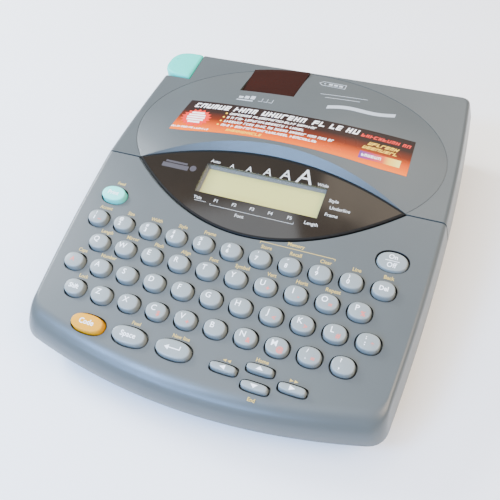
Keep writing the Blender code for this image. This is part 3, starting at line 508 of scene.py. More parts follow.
def base_ring(z, insets, wall=0.0):
    return [(p.x, p.y, z) for p in casing_outline(*(inset + wall for inset in insets))]


def lens_outline(outset, count=48):
    """Two parabolic bows that meet in tips on the seam."""
    tip = LENS_TIP_X + LENS_TIP_GROWTH * outset
    front = [-tip + 2 * tip * i / count for i in range(count)]
    return ([(x, -(LENS_FRONT_SAG + outset) * (1 - (x / tip) ** 2)) for x in front]
            + [(-x, (LENS_REAR_SAG + outset) * (1 - (x / tip) ** 2)) for x in front])


def lens_stack(*steps):
    """A solid through the lens outline, moved out by each (outset, height over the deck)."""
    return solid(loft([at_height(lens_outline(outset), z) for outset, z in steps]), DECK)


def crown_height(x, y):
    """Height of the cover's top over its plane: the elliptical crown, and nothing outside it."""
    reach = (x / DOME_HALF[0]) ** 2 + ((y - DOME_CENTRE) / DOME_HALF[1]) ** 2
    return DOME_HEIGHT * max(0.0, 1.0 - reach)


def dome(lower, steps=18, count=96):
    rings = [at_height(oval(*DOME_HALF, 2, count), -0.004 - lower, (0, DOME_CENTRE))]
    for i in range(steps + 1):
        share = 1.0 - 0.985 * i / steps
        ring = oval(DOME_HALF[0] * share, DOME_HALF[1] * share, 2, count)
        rings.append(at_height(ring, DOME_HEIGHT * (1 - share ** 2) - lower, (0, DOME_CENTRE)))
    return loft(rings)


def crown_groove(size=0.00027, count=160):
    """A fine bead along the crown's edge, cut out of the cover as its outline groove."""
    mesh = bmesh.new()
    loops = []
    for i in range(count):
        angle = math.tau * (i + 0.5) / count
        out = Vector((math.cos(angle) / DOME_HALF[0], math.sin(angle) / DOME_HALF[1])).normalized()
        x, y = DOME_HALF[0] * math.cos(angle), DOME_CENTRE + DOME_HALF[1] * math.sin(angle)
        loops.append([mesh.verts.new((x + out.x * a, y + out.y * a, z)) for a, z in (
            (-size, 0.0006), (size, 0.0006), (size * 0.6, -size), (-size * 0.6, -size))])
    for i, loop in enumerate(loops):
        for j in range(4):
            mesh.faces.new((loops[i - 1][j], loop[j], loop[(j + 1) % 4], loops[i - 1][(j + 1) % 4]))
    return mesh


def key_x(column):
    return KEYS_X + (column - MIDDLE_COLUMN) * KEY_PITCH


def row_centres(name):
    y, first, last = KEY_ROWS[name]
    return [(key_x(first + column), y) for column in range(int(last - first) + 1)]


def key_stations():
    """Each key's body, centre, half size and roundness."""
    for name in KEY_ROWS:
        for centre in row_centres(name):
            yield name, centre, KEY_HALF, KEY_ROUNDNESS
    for name, (centre, half, roundness) in SPECIAL_KEYS.items():
        yield name, centre, half, roundness


# ---------------------------------------------------------------- casing shells
def upper_body():
    return solid(loft([rim_ring(drop) for drop in FINE_LEVELS], SPLIT_Y))


def upper_hollow():
    return solid(loft([rim_ring(drop, WALL, WALL) for drop in PLAIN_LEVELS], SPLIT_Y))


def build_deck():
    behind = solid(block((-FAR, SPLIT_Y - SEAM / 2, -FAR), (FAR, FAR, FAR)))
    tray_low, rim_width = TRAY_TOP - TRAY_THICKNESS, 0.003
    rim = lens_stack((rim_width, tray_low + 0.0004), (rim_width, -WALL / 2))
    seat = lens_stack((2 * GAP, TRAY_TOP - GAP), (2 * GAP, -0.0003), (2 * GAP + 0.001, 0.0007))
    tray = lens_stack((GAP, tray_low), (GAP, TRAY_TOP))
    opening = solid(block((*DISPLAY_MIN, -0.02), (*DISPLAY_MAX, 0.01)), DECK)
    holes = bmesh.new()
    flared = ((-0.01, KEY_ROOM), (-0.0003, KEY_ROOM), (0.0002, KEY_ROOM + 0.0005))
    for _, centre, half, roundness in key_stations():
        loft([at_height(oval(half[0] + room, half[1] + room, roundness), z, centre)
              for z, room in flared], mesh=holes)
    shell = carve(upper_body(), (CUT, upper_hollow()), (JOIN, rim), (CUT, behind), (CUT, seat),
                  (JOIN, tray), (CUT, opening), (CUT, solid(holes, DECK)))
    deck = show("deck_shell", shell, [SHELL, BLACK_RIM_AND_PAINTED_SHADE], CASING, ["upper_case"], weighted=True)
    # The walls of the key holes take the black material as painted shade for the dark gaps round the
    # keys; faces that look up belong to the deck's top.
    to_plane, facing_up, hole_depth, reach = DECK.inverted(), 0.8, 0.006, 2.0 * KEY_ROOM
    for face in deck.data.polygons:
        spot = to_plane @ face.center
        if ((to_plane.to_3x3() @ face.normal).z > facing_up
                or not -hole_depth < spot.z < -0.0001):
            continue
        if any(abs(spot.x - x) < half_x + reach and abs(spot.y - y) < half_y + reach
               for _, (x, y), (half_x, half_y), _ in key_stations()):
            face.material_index = 1


def window_outline(outset):
    """The cassette window: straight front and sides, its rear edge on the crown's ellipse."""
    x_low, x_high = WINDOW_MIN[0] - outset, WINDOW_MAX_X + outset
    points = [(x_low, WINDOW_MIN[1] - outset), (x_high, WINDOW_MIN[1] + 0.001 - outset)]
    rear_left, rear_right = x_low + WINDOW_SKEW[0], x_high + WINDOW_SKEW[1]
    steps = 12
    for i in range(steps + 1):
        x = rear_right + (rear_left - rear_right) * i / steps
        rise = DOME_HALF[1] * math.sqrt(1 - (x / DOME_HALF[0]) ** 2)
        points.append((x, DOME_CENTRE + rise - WINDOW_REAR_GAP + outset))
    return points


def build_cover():
    front = solid(block((-FAR, -FAR, -FAR), (FAR, SPLIT_Y + SEAM / 2, FAR)))
    slit, bevel_low, rim_width = 0.0007, LENS_TOP - 0.0002, 0.0085
    bevel = lens_stack((slit, -0.04), (slit, bevel_low),
                       (slit + BEVEL_HEIGHT, bevel_low + BEVEL_HEIGHT))
    rim = lens_stack((rim_width, -0.03), (rim_width, 0.03))
    under = solid(block((-FAR, -FAR, -FAR), (FAR, FAR, SPLIT_Z - RIM_DEPTH + 0.0035)))
    inner = carve(upper_hollow(), (JOIN, solid(dome(WALL, 6, 48), COVER)),
                  (CUT, carve(rim, (CUT, under))))
    room, half = 0.0008, LUG_WIDTH / 2 + HINGE_PLAY
    notch = solid(block((-FAR, BUTTON_Y[0] - room, 0.0), (BUTTON_STRAIGHT_X + room, FAR, FAR)))
    heel = solid(block((-FAR, 0.11, 0.0), (FAR, FAR, HINGE_Z - 0.0048)))
    slots, knuckles, bores = bmesh.new(), bmesh.new(), bmesh.new()
    for x in HINGE_X:
        block((x - half, 0.1115, 0.0), (x + half, FAR, HINGE_Z + HINGE_RADIUS + room), slots)
        tube((x, HINGE_Y, HINGE_Z), HINGE_BORE, 2 * (half + KNUCKLE_WIDTH) + 0.001, (1, 0, 0), 16,
             bores)
        for side in (-1, 1):
            middle = x + side * (half + KNUCKLE_WIDTH / 2)
            low = (middle - KNUCKLE_WIDTH / 2, HINGE_Y - 0.0042, HINGE_Z - 0.002)
            block(low, (middle + KNUCKLE_WIDTH / 2, HINGE_Y + 0.001, HINGE_Z + 0.005), knuckles)
    opening = solid(prism(window_outline(0.0003), -0.02, 0.02), COVER)
    shell = carve(upper_body(), (JOIN, solid(dome(0.0), COVER)), (CUT, front), (CUT, inner),
                  (CUT, solid(crown_groove(), COVER)), (CUT, bevel), (CUT, notch), (CUT, heel),
                  (CUT, solid(slots)), (CUT, opening), (JOIN, solid(knuckles)), (CUT, solid(bores)))
    show("cover_shell", shell, SHELL, "cover", ["tape_cover"], weighted=True)


def build_base():
    body = solid(loft([base_ring(BASE_Z, FOOT), base_ring(BASE_Z + 0.0008, CHAMFER),
                       base_ring(FLOOR_Z, FLOOR), rim_ring(RIM_DEPTH, 0.0, GAP)], SPLIT_Y))
    raised = [(x, y, z + 0.05) for x, y, z in rim_ring(RIM_DEPTH, WALL, GAP)]
    hollow = solid(loft([base_ring(FLOOR_Z, FLOOR, WALL), rim_ring(RIM_DEPTH, WALL, GAP), raised],
                        SPLIT_Y))
    box_low, box_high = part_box("battery_box")
    wall, margin = 0.0015, 0.003
    bay = solid(block((box_low.x + wall, box_low.y + wall, -0.01),
                      (box_high.x - wall, box_high.y - wall, 0.02)))
    door_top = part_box("battery_door")[1].z
    seat = solid(block((box_low.x - margin, box_low.y - margin, -0.01),
                       (box_high.x + margin, FAR, door_top + GAP)))
    slot = solid(block((-FAR, TAPE_Y - 0.0015, 0.016), (-0.0965, TAPE_Y + 0.0015, 0.08)))
    jack = solid(tube((0.019, REAR_Y, 0.013), 0.0036, 0.02, (0, 1, 0)))
    posts = bmesh.new()
    for x, y in ((-0.03, 0.026), (0.004, 0.03), (0.004, 0.104), (-0.06, 0.106)):
        tube((x, y, 0.0068), 0.0035, 0.0068, segments=24, mesh=posts)
    lugs, tops, holes = bmesh.new(), bmesh.new(), bmesh.new()
    half = LUG_WIDTH / 2
    for x in HINGE_X:
        block((x - half, HINGE_Y - HINGE_RADIUS, 0.036), (x + half, REAR_Y - 0.0018, HINGE_Z), lugs)
        tube((x, HINGE_Y, HINGE_Z), HINGE_RADIUS - 0.00005, LUG_WIDTH, (1, 0, 0), 28, tops)
        tube((x, HINGE_Y, HINGE_Z), HINGE_BORE, LUG_WIDTH + 0.004, (1, 0, 0), 16, holes)
    sinks = bmesh.new()
    for number in range(1, 5):
        low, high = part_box("case_screw_%d" % number)
        centre = (low + high) / 2
        tube((centre.x, centre.y, 0.0), 0.0035, 2 * (BASE_Z + 0.0012), segments=28, mesh=sinks)
    shell = carve(body, (CUT, hollow), (CUT, bay), (CUT, seat), (CUT, slot), (CUT, jack),
                  (JOIN, solid(posts)), (JOIN, solid(lugs)), (JOIN, solid(tops)),
                  (CUT, solid(holes)), (CUT, solid(sinks)))
    show("base_shell", shell, SHELL, CASING, ["lower_case"], weighted=True)


# ---------------------------------------------------------------- keys
def key_crown(half):
    return min(KEY_CROWN, 0.05 * half[1])


def key_rings(half, roundness, centre, foot=WEB_TOP - WEB_THICKNESS / 2, top=KEY_TOP):
    """Profile of a key: drafted flank, rounded shoulder, and a shallow crown."""
    crown = key_crown(half)
    shoulder = top - crown
    rings = [(0.0, foot), (0.0, -0.0006), (KEY_TAPER, shoulder - KEY_ROUND)]
    for i in range(1, 6):
        angle = math.radians(18 * i)
        rings.append((KEY_TAPER + KEY_ROUND * (1 - math.cos(angle)),
                      shoulder - KEY_ROUND * (1 - math.sin(angle))))
    made = [at_height(oval(half[0] - inset, half[1] - inset, roundness), z, centre)
            for inset, z in rings]
    inner = (half[0] - KEY_TAPER - KEY_ROUND, half[1] - KEY_TAPER - KEY_ROUND)
    for share in (0.75, 0.5, 0.25, 0.04):
        z = shoulder + crown * (1 - share ** 2)
        made.append(at_height(oval(inner[0] * share, inner[1] * share, roundness), z, centre))
    return made


def key_surface(centre, half, roundness, top=KEY_TOP):
    """Height of the key's crown over a point of the deck's plane."""
    def height(x, y):
        u = abs(x - centre[0]) / (half[0] - KEY_TAPER - KEY_ROUND)
        v = abs(y - centre[1]) / (half[1] - KEY_TAPER - KEY_ROUND)
        reach = (u ** roundness + v ** roundness) ** (1 / roundness)
        return top - key_crown(half) * min(1.0, reach) ** 2

    return height


def special_top(name):
    return ON_OFF_TOP if name == "on_off_key" else KEY_TOP


def build_keys():
    web_margin, flange_width = 0.001, 0.0013
    for name, (y, first, last) in KEY_ROWS.items():
        caps = bmesh.new()
        for centre in row_centres(name):
            loft(key_rings(KEY_HALF, KEY_ROUNDNESS, centre), mesh=caps)
        half_x = (last - first) / 2 * KEY_PITCH + KEY_HALF[0] + web_margin
        half_y = KEY_HALF[1] + web_margin
        soft_block((KEYS_X - half_x, y - half_y, WEB_TOP - WEB_THICKNESS),
                   (KEYS_X + half_x, y + half_y, WEB_TOP), 0.0002, caps)
        show(name + "_caps", caps, KEY_LOOK, name, [name], 40.0, DECK)
    looks = {"print_key": (MINT, "key_teal"), "code_key": (AMBER, "key_amber")}
    for name, (centre, half, roundness) in SPECIAL_KEYS.items():
        look, slot = looks.get(name, (KEY_LOOK, "key_grey"))
        cap = loft(key_rings(half, roundness, centre, WEB_TOP, special_top(name)))
        flange = oval(half[0] + flange_width, half[1] + flange_width, roundness)
        loft([at_height(flange, WEB_TOP - WEB_THICKNESS, centre), at_height(flange, WEB_TOP, centre)],
             mesh=cap)
        show(name + "_cap", cap, look, name, [name], 40.0, DECK)


# ---------------------------------------------------------------- flat print
def flat_polygon(mesh, points):
    mesh.faces.new([mesh.verts.new((x, y, 0.0)) for x, y in points])


def flat_box(mesh, low, high):
    flat_polygon(mesh, [low, (high[0], low[1]), high, (low[0], high[1])])


def circle(centre, radius, count):
    """Points round a centre, back to the first one."""
    return [(centre[0] + radius * math.cos(math.tau * i / count),
             centre[1] + radius * math.sin(math.tau * i / count)) for i in range(count + 1)]


def flat_disc(mesh, centre, radius, count=20):
    flat_polygon(mesh, circle(centre, radius, count)[:-1])


def flat_line(mesh, points, width):
    """A strip of even width along a run of points, as one polygon for each stretch."""
    for (x0, y0), (x1, y1) in zip(points, points[1:]):
        length = math.hypot(x1 - x0, y1 - y0)
        across = (-(y1 - y0) / length * width / 2, (x1 - x0) / length * width / 2)
        flat_polygon(mesh, [(x0 + across[0], y0 + across[1]), (x0 - across[0], y0 - across[1]),
                            (x1 - across[0], y1 - across[1]), (x1 + across[0], y1 + across[1])])


def flat_text(mesh, words, size, centre, wide=1.0, bold=0.00006):
    """Upright lettering centred on a point; size is the height of a capital."""
    curve = bpy.data.curves.new("words", "FONT")
    curve.body = words
    curve.size = size / 0.7
    curve.offset = bold
    curve.align_x, curve.align_y = "CENTER", "CENTER"
    curve.resolution_u = 3
    carrier = add_object("words", curve)
    graph = bpy.context.evaluated_depsgraph_get()
    data = bpy.data.meshes.new_from_object(carrier.evaluated_get(graph))
    data.transform(Matrix.Translation((*centre, 0.0)) @ Matrix.Diagonal((wide, 1.0, 1.0, 1.0)))
    mesh.from_mesh(data)
    bpy.data.meshes.remove(data)
    bpy.data.objects.remove(carrier, do_unlink=True)
    bpy.data.curves.remove(curve)


def slice_up(mesh, step):
    """Cut flat shapes along a grid, so that they can follow a curved surface."""
    xs, ys = [v.co.x for v in mesh.verts], [v.co.y for v in mesh.verts]
    for values, normal in ((xs, Vector((1, 0, 0))), (ys, Vector((0, 1, 0)))):
        at = math.ceil(min(values) / step) * step
        while at < max(values):
            geometry = mesh.verts[:] + mesh.edges[:] + mesh.faces[:]
            bmesh.ops.bisect_plane(
                mesh, geom=geometry, dist=1e-7, plane_co=normal * at, plane_no=normal)
            at += step


def lay_on(mesh, surface, low, high):
    """Turn flat shapes into a thin closed film that lies on a surface."""
    bmesh.ops.remove_doubles(mesh, verts=mesh.verts, dist=1e-7)
    bmesh.ops.dissolve_degenerate(mesh, edges=mesh.edges, dist=1e-7)
    grown = bmesh.ops.extrude_face_region(mesh, geom=mesh.faces[:], use_keep_orig=True)["geom"]
    upper = {v for v in grown if isinstance(v, bmesh.types.BMVert)}
    for vertex in mesh.verts:
        rest = surface(vertex.co.x, vertex.co.y)
        vertex.co.z = rest + (high if vertex in upper else low)


def mapped_film(name, mesh, look, corners, low, high):
    """A film on the cover's crown, with a map that runs from 0 to 1 between two corners."""
    slice_up(mesh, FILM_GRID)
    lay_on(mesh, crown_height, low, high)
    layer = mesh.loops.layers.uv.new("film")
    start, end = corners
    for face in mesh.faces:
        for loop in face.loops:
            loop[layer].uv = [(loop.vert.co[i] - start[i]) / (end[i] - start[i]) for i in (0, 1)]
    show(name, mesh, look, "cover", place=COVER, angle=40.0)


def film(name, mesh, look, body, surface=None, low=-0.00002, high=0.00004, place=DECK, step=None):
    if step:
        slice_up(mesh, step)
    lay_on(mesh, surface or (lambda x, y: 0.0), low, high)
    show(name, mesh, look, body, place=place, angle=40.0)


LETTERS = {
    "key_row_numbers": ["!1", "@2", "#3", "$4", "%5", "&6", "'7", "*8", "(9", ")0", "Del"],
    "key_row_q": list("QWERTYUIOP"),
    "key_row_a": [""] + list("ASDFGHJKL") + [";:"],
    "key_row_z": ["Shift"] + list("ZXCVBNM") + ["/.", "?,"],
}
ACCENTS = {
    "key_row_numbers": {0: "~"},
    "key_row_q": {6: "+", 7: "-", 8: "=", 9: "%"},
    "key_row_a": {0: "A", 7: "<", 8: ">", 9: "#", 10: "*"},
    "key_row_z": {3: "$", 4: "+", 6: "&", 7: "@", 8: "="},
}


def build_key_prints():
    for name in KEY_ROWS:
        white, red = bmesh.new(), bmesh.new()
        for column, (label, (x, y)) in enumerate(zip(LETTERS[name], row_centres(name))):
            if len(label) > 2:
                flat_text(white, label, 0.0026, (x, y), 0.92, 0.00009)
            elif len(label) == 2:
                flat_text(white, label[0], 0.0019, (x - 0.0015, y + 0.002), 1.0, 0.00007)
                flat_text(white, label[1], 0.0024, (x - 0.0015, y - 0.0012), 1.0, 0.00009)
            elif label:
                flat_text(white, label, 0.0032, (x - 0.0015, y + 0.0009), 1.0, 0.00003)
            accent = ACCENTS[name].get(column)
            if accent:
                spot = (x - 0.0006, y) if not label else (x + 0.0021, y - 0.0016)
                flat_text(red, accent, 0.0026, spot, 1.0, 0.0001)

        def surface(px, py, centres=row_centres(name)):
            nearest = min(centres, key=lambda centre: abs(centre[0] - px))
            return key_surface(nearest, KEY_HALF, KEY_ROUNDNESS)(px, py)

        film(name + "_letters", white, WHITE_INK, name, surface, **KEY_INK)
        film(name + "_accents", red, RED_INK, name, surface, **KEY_INK)

    def words(text, size):
        return lambda mesh, x, y: flat_text(mesh, text, size, (x, y), 0.95, 0.00009)

    def on_off(mesh, x, y):
        flat_text(mesh, "On", 0.0028, (x, y + 0.0024), 0.95, 0.00005)
        flat_line(mesh, [(x - 0.0038, y), (x + 0.0038, y)], 0.00028)
        flat_text(mesh, "Off", 0.0028, (x, y - 0.0026), 0.95, 0.00005)

    def hook(mesh, x, y):
        flat_line(mesh, [(x + 0.004, y + 0.002), (x + 0.004, y - 0.00025)], 0.0005)
        flat_line(mesh, [(x + 0.00425, y), (x - 0.0022, y)], 0.0005)
        flat_polygon(mesh, [(x - 0.0046, y), (x - 0.0022, y - 0.0014), (x - 0.0022, y + 0.0014)])

    def arrow(dx, dy):
        def draw(mesh, x, y):
            flat_polygon(mesh, [(x + 0.0017 * dx, y + 0.0011 * dy)] + [
                (x - 0.0013 * dx + 0.0019 * side * dy, y - 0.0008 * dy + 0.0012 * side * dx)
                for side in (-1, 1)])

        return draw

    prints = {
        "print_key": words("Print", 0.0027), "code_key": words("Code", 0.0029),
        "space_key": words("Space", 0.0029), "on_off_key": on_off, "return_key": hook,
        "cursor_left_key": arrow(-1, 0), "cursor_up_key": arrow(0, 1),
        "cursor_down_key": arrow(0, -1), "cursor_right_key": arrow(1, 0),
    }
    for name, draw in prints.items():
        centre, half, roundness = SPECIAL_KEYS[name]
        mesh = bmesh.new()
        draw(mesh, *centre)
        surface = key_surface(centre, half, roundness, special_top(name))
        film(name + "_print", mesh, WHITE_INK, name, surface, **KEY_INK)


LEGENDS = {
    "key_row_numbers": (-0.0407, "Accent Size Width Style Frame - Store Recall Clear Line Back"),
    "key_row_q": (-0.0561, "Length Mirror Pitch Align Font Symbol Vert Horiz Repeat"),
    "key_row_a": (-0.0711, "Caps Number"),
    "key_row_z": (-0.0864, "Lock"),
}
SINGLE_LEGENDS = (("Feed", -0.0355, -0.1038), ("New line", -0.009, -0.104), ("End", 0.037, -0.1236),
                  ("Home", 0.0358, -0.1034), ("Feed", -0.085, -0.0222))


def build_deck_print():
    yellow = bmesh.new()
    for name, (y, words) in LEGENDS.items():
        for (x, _), word in zip(row_centres(name), words.split()):
            if word != "-":
                flat_text(yellow, word, 0.0022, (x + 0.0008, y), 0.92, 0.00005)
    for word, x, y in SINGLE_LEGENDS:
        flat_text(yellow, word, 0.002, (x, y), 0.95, 0.00006)
    for x, turn in ((0.0185, -1), (0.054, 1)):
        for middle in (x - 0.0012, x + 0.0012):
            back = middle - 0.0009 * turn
            flat_polygon(yellow, [(middle + 0.001 * turn, -0.1084), (back, -0.1084 + 0.0008 * turn),
                                  (back, -0.1084 - 0.0008 * turn)])
    flat_text(yellow, "Memory", 0.0021, (0.0312, -0.0352), 0.95, 0.00007)
    left, right, y = 0.0113, 0.0541, -0.0376
    flat_line(yellow, [(left, y), (right, y)], 0.00035)
    for x in (left, right):
        flat_line(yellow, [(x, y), (x, -0.0388)], 0.00035)
    film("deck_legends", yellow, YELLOW_INK, CASING)


# ---------------------------------------------------------------- display
def build_display():
    panel = lens_stack((0.0, LENS_TOP - LENS_THICKNESS), (0.0, LENS_TOP - 0.0003),
                       (-0.0003, LENS_TOP), (-0.0014, LENS_TOP))
    inset = 0.0012
    low = (DISPLAY_MIN[0] + inset, DISPLAY_MIN[1] + inset)
    high = (DISPLAY_MAX[0] - inset, DISPLAY_MAX[1] - inset)
    opening = solid(block((*low, -0.02), (*high, 0.02)), DECK)
    lens = show("lens_panel", carve(panel, (CUT, opening)), [SMOKED, BLACK_RIM_AND_PAINTED_SHADE], CASING,
                ["display_lens"], weighted=True)
    to_plane = DECK.inverted()
    tip = LENS_TIP_X - LENS_TIP_GROWTH * LENS_EDGE
    for face in lens.data.polygons:
        spot = to_plane @ face.center
        sag = LENS_FRONT_SAG if spot.y < 0 else LENS_REAR_SAG
        if abs(spot.y) > (sag - LENS_EDGE) * (1 - (spot.x / tip) ** 2) and len(face.vertices) < 6:
            face.material_index = 1
    slip = 0.00003
    pane = soft_block((low[0] + slip, low[1] + slip, LENS_TOP - LENS_THICKNESS),
                      (high[0] - slip, high[1] - slip, LENS_TOP), 0.00008)
    show("lens_pane", pane, CLEAR, CASING, place=DECK)
    floor_z = TRAY_TOP - TRAY_THICKNESS
    surround = bmesh.new()
    slope, play, thickness = 0.0022, 0.0001, Vector((0, 0, 0.00035))

    def frame_corner(turn, reach, z):
        """A corner of the sloping frame round the display, counter-clockwise from the left front."""
        x = DISPLAY_MAX[0] - play - reach if turn % 4 in (1, 2) else DISPLAY_MIN[0] + play + reach
        y = DISPLAY_MAX[1] - play - reach if turn % 4 > 1 else DISPLAY_MIN[1] + play + reach
        return Vector((x, y, z))

    for i in range(4):
        corners = [frame_corner(i, 0.0, TRAY_TOP), frame_corner(i + 1, 0.0, TRAY_TOP),
                   frame_corner(i + 1, slope, floor_z), frame_corner(i, slope, floor_z)]
        loft([corners, [corner - thickness for corner in corners]], mesh=surround)
    show("display_surround", surround, FRAME_GREY, CASING, place=DECK)
    dress(nodes["display_module"], LCD)

    white, mauve = bmesh.new(), bmesh.new()
    for x, size in ((-0.023, 0.0028), (-0.0121, 0.0037), (-0.0005, 0.0052), (0.0108, 0.0069),
                    (0.0221, 0.0103)):
        flat_text(white, "A", size, (x, 0.0072 + (size - 0.0028) * 0.4), 1.0, 0.00003)
    labels = [("Auto", -0.0341, 0.008), ("Wide", 0.0337, 0.0072), ("Style", 0.0428, -0.0019),
              ("Underline", 0.0476, -0.0066), ("Frame", 0.044, -0.0115), ("Title", -0.035, -0.0195),
              ("Length", 0.0348, -0.0197), ("Font", -0.0064, -0.0256)]
    labels += [("F%d" % number, x, -0.0191)
               for number, x in enumerate((-0.0233, -0.0119, -0.0008, 0.0104, 0.022), 1)]
    for word, x, y in labels:
        flat_text(white, word, 0.002 if word == "Title" else 0.0021, (x, y), 1.0, 0.00003)
    flat_line(white, [(-0.026, -0.0214), (-0.026, -0.0226), (0.025, -0.0226), (0.025, -0.0214)],
              0.00018)
    flat_line(white, [(-0.0365, -0.0214), (-0.029, -0.0214)], 0.00018)
    film("lens_legends", white, LENS_INK, CASING, lambda x, y: LENS_TOP)
    flat_box(mauve, (-0.0665, -0.003), (-0.049, 0.0002))
    flat_box(mauve, (-0.065, 0.0008), (-0.0505, 0.0022))
    flat_disc(mauve, (-0.046, -0.0005), 0.0021)
    film("lens_emblem", mauve, MAUVE_INK, CASING, lambda x, y: LENS_TOP)


# ---------------------------------------------------------------- cover print
def build_decal():
    """A gloss film on the crown; its lower edge keeps clear of the bevel behind the display."""
    left, right, low, high = -0.0738, 0.0774, 0.0252, 0.0538
    sheet = bmesh.new()
    count, arch, arch_half = 48, 0.0026, 0.06
    bottom = [left + (right - left) * i / count for i in range(count + 1)]
    bottom = [(x, low + arch * max(0.0, 1.0 - (x / arch_half) ** 2)) for x in bottom]
    top = [(right - 0.0006, high), ((left + right) / 2, high - 0.0006), (left + 0.0035, high)]
    flat_polygon(sheet, bottom + top)
    mapped_film("decal_film", sheet, DECAL, ((left, low), (right, high)), 0.00002, 0.00012)

    def decal_print(name, mesh, look, layer_height=0.0001):
        film(name, mesh, look, "cover", crown_height, layer_height, layer_height + 0.00007, COVER,
             FILM_GRID)

    random.seed(7)
    white, yellow, red = bmesh.new(), bmesh.new(), bmesh.new()

    def bars(mesh, x, end, y, height, widths, lean=0.25):
        """A run of slanted strokes that reads as a line of type from far off, with no letters."""
        stroke, in_word = height * 0.24, 0.85

        def piece(x0, x1, y0, y1):
            flat_polygon(mesh, [(px + lean * (py - y), py)
                                for px, py in ((x0, y0), (x1, y0), (x1, y1), (x0, y1))])

        while x < end:
            width = random.choice(widths)
            piece(x, x + stroke, y, y + height)
            paired = random.random() < 0.45
            reach = x + width - (stroke if paired else 0.0)
            if paired:
                piece(reach, x + width, y, y + height)
            places = random.sample((0.0, 0.38, 0.76), 1 if paired else random.choice((1, 2, 3)))
            for share in places:
                piece(x + stroke, reach, y + share * height, y + share * height + stroke)
            x += width + height * (0.22 if random.random() < in_word else 0.75)

    for start, end in ((-0.0655, -0.0235), (-0.019, 0.0095), (0.014, 0.0395)):
        bars(white, start, end, 0.0472, 0.0043, (0.0027, 0.0031, 0.0034))
    lines = ((-0.039, 0.017), (-0.0396, 0.012), (-0.0402, 0.03), (-0.0408, 0.0215))
    for i, (start, end) in enumerate(lines):
        bars(white, start, end, 0.0436 - 0.0036 * i, 0.0019, (0.0012, 0.0014, 0.0016))
        flat_disc(yellow, (start - 0.0022, 0.0445 - 0.0036 * i), 0.0007, 12)
    bars(yellow, -0.036, -0.013, 0.029, 0.0021, (0.0015, 0.0019))
    bars(white, -0.0735, -0.048, 0.0274, 0.0013, (0.0009, 0.0012))
    bars(red, 0.045, 0.0725, 0.0468, 0.0027, (0.0018, 0.0022))
    bars(yellow, 0.0505, 0.066, 0.0412, 0.0026, (0.0018, 0.0022), 0.45)
    bars(yellow, 0.048, 0.068, 0.0376, 0.0024, (0.0018, 0.0022), 0.45)
    burst_x, burst_y, points, burst = -0.06, 0.0372, 36, []
    for i in range(points):
        reach, angle = 1.0 if i % 2 else 0.8, math.tau * i / points
        burst.append((burst_x + 0.0108 * reach * math.cos(angle),
                      burst_y + 0.0082 * reach * math.sin(angle)))
    flat_polygon(red, burst)
    decal_print("decal_red_print", red, DECAL_RED)
    centre = bmesh.new()
    for i, reach in enumerate((0.0044, 0.0058, 0.0062, 0.0058, 0.0042)):
        y = -0.0021 * i
        flat_box(centre, (burst_x - reach, 0.041 + y), (burst_x + reach, 0.0424 + y))
    decal_print("decal_burst_bars", centre, DECAL_WHITE, 0.00016)
    decal_print("decal_white_print", white, DECAL_WHITE)
    decal_print("decal_yellow_print", yellow, DECAL_YELLOW)
    badge, marks = bmesh.new(), bmesh.new()
    corners = ((0.0478, 0.0296), (0.0722, 0.0352))
    flat_box(badge, *corners)
    mapped_film("decal_badge", badge, BADGE, corners, 0.0001, 0.00017)
    bars(marks, 0.0492, 0.061, 0.0314, 0.0021, (0.0014, 0.0017), 0.0)
    decal_print("decal_badge_bars", marks, DECAL_WHITE, 0.00016)


def build_cover_print():
    """Generic marks in place of the maker's: a label-tag sign, a tape sign, and size bars."""
    white = bmesh.new()
    for tag_line in ([(0.008, 0.09), (0.023, 0.09)], [(0.008, 0.0948), (0.023, 0.0948)],
                     [(0.00802, 0.0898), (0.0055, 0.0924), (0.00802, 0.095)],
                     [(0.023, 0.0898), (0.023, 0.095)]):
        flat_line(white, tag_line, 0.00045)
    flat_disc(white, (0.0092, 0.0924), 0.0006, 14)
    for i in range(3):
        flat_box(white, (0.0118 + 0.0034 * i, 0.0913), (0.0144 + 0.0034 * i, 0.0935))
    for i, x in enumerate((-0.04, -0.036, -0.032)):
        flat_box(white, (x, 0.0616), (x + 0.003, 0.0638 + 0.0007 * i))
    flat_box(white, (-0.0406, 0.0594), (-0.0294, 0.0604))
    for x in (-0.026, -0.0225, -0.019):
        flat_line(white, [(x, 0.0606), (x + 0.0024, 0.0606), (x + 0.0024, 0.064)], 0.0003)
    steps, tape_width = 20, 0.0034
    tape = [(0.018 + 0.042 * t, 0.065 + 0.0065 * t + 0.0014 * math.sin(math.tau * t))
            for t in (i / steps for i in range(steps + 1))]
    for (x0, y0), (x1, y1) in zip(tape, tape[1:]):
        flat_polygon(white, [(x0, y0), (x1, y1), (x1, y1 + tape_width), (x0, y0 + tape_width)])
    flat_line(white, [(0.01, 0.0795), (0.04, 0.083)], 0.0004)
    flat_line(white, [(0.014, 0.0765), (0.036, 0.079)], 0.0004)
    film("cover_marks", white, SOFT_WHITE_INK, "cover", crown_height, place=COVER, step=FILM_GRID)


def build_window():
    low, high = -0.0006, 0.0022
    outline = window_outline(0.0)
    middle_y = 0.086
    chamfered = [(x * 0.994 - 0.00014, (y - middle_y) * 0.985 + middle_y) for x, y in outline]
    pane = loft([at_height(outline, low), at_height(outline, high - 0.0003),
                 at_height(chamfered, high)])
    show("window_pane", pane, RED_WINDOW, "cover", ["tape_window"], place=COVER)


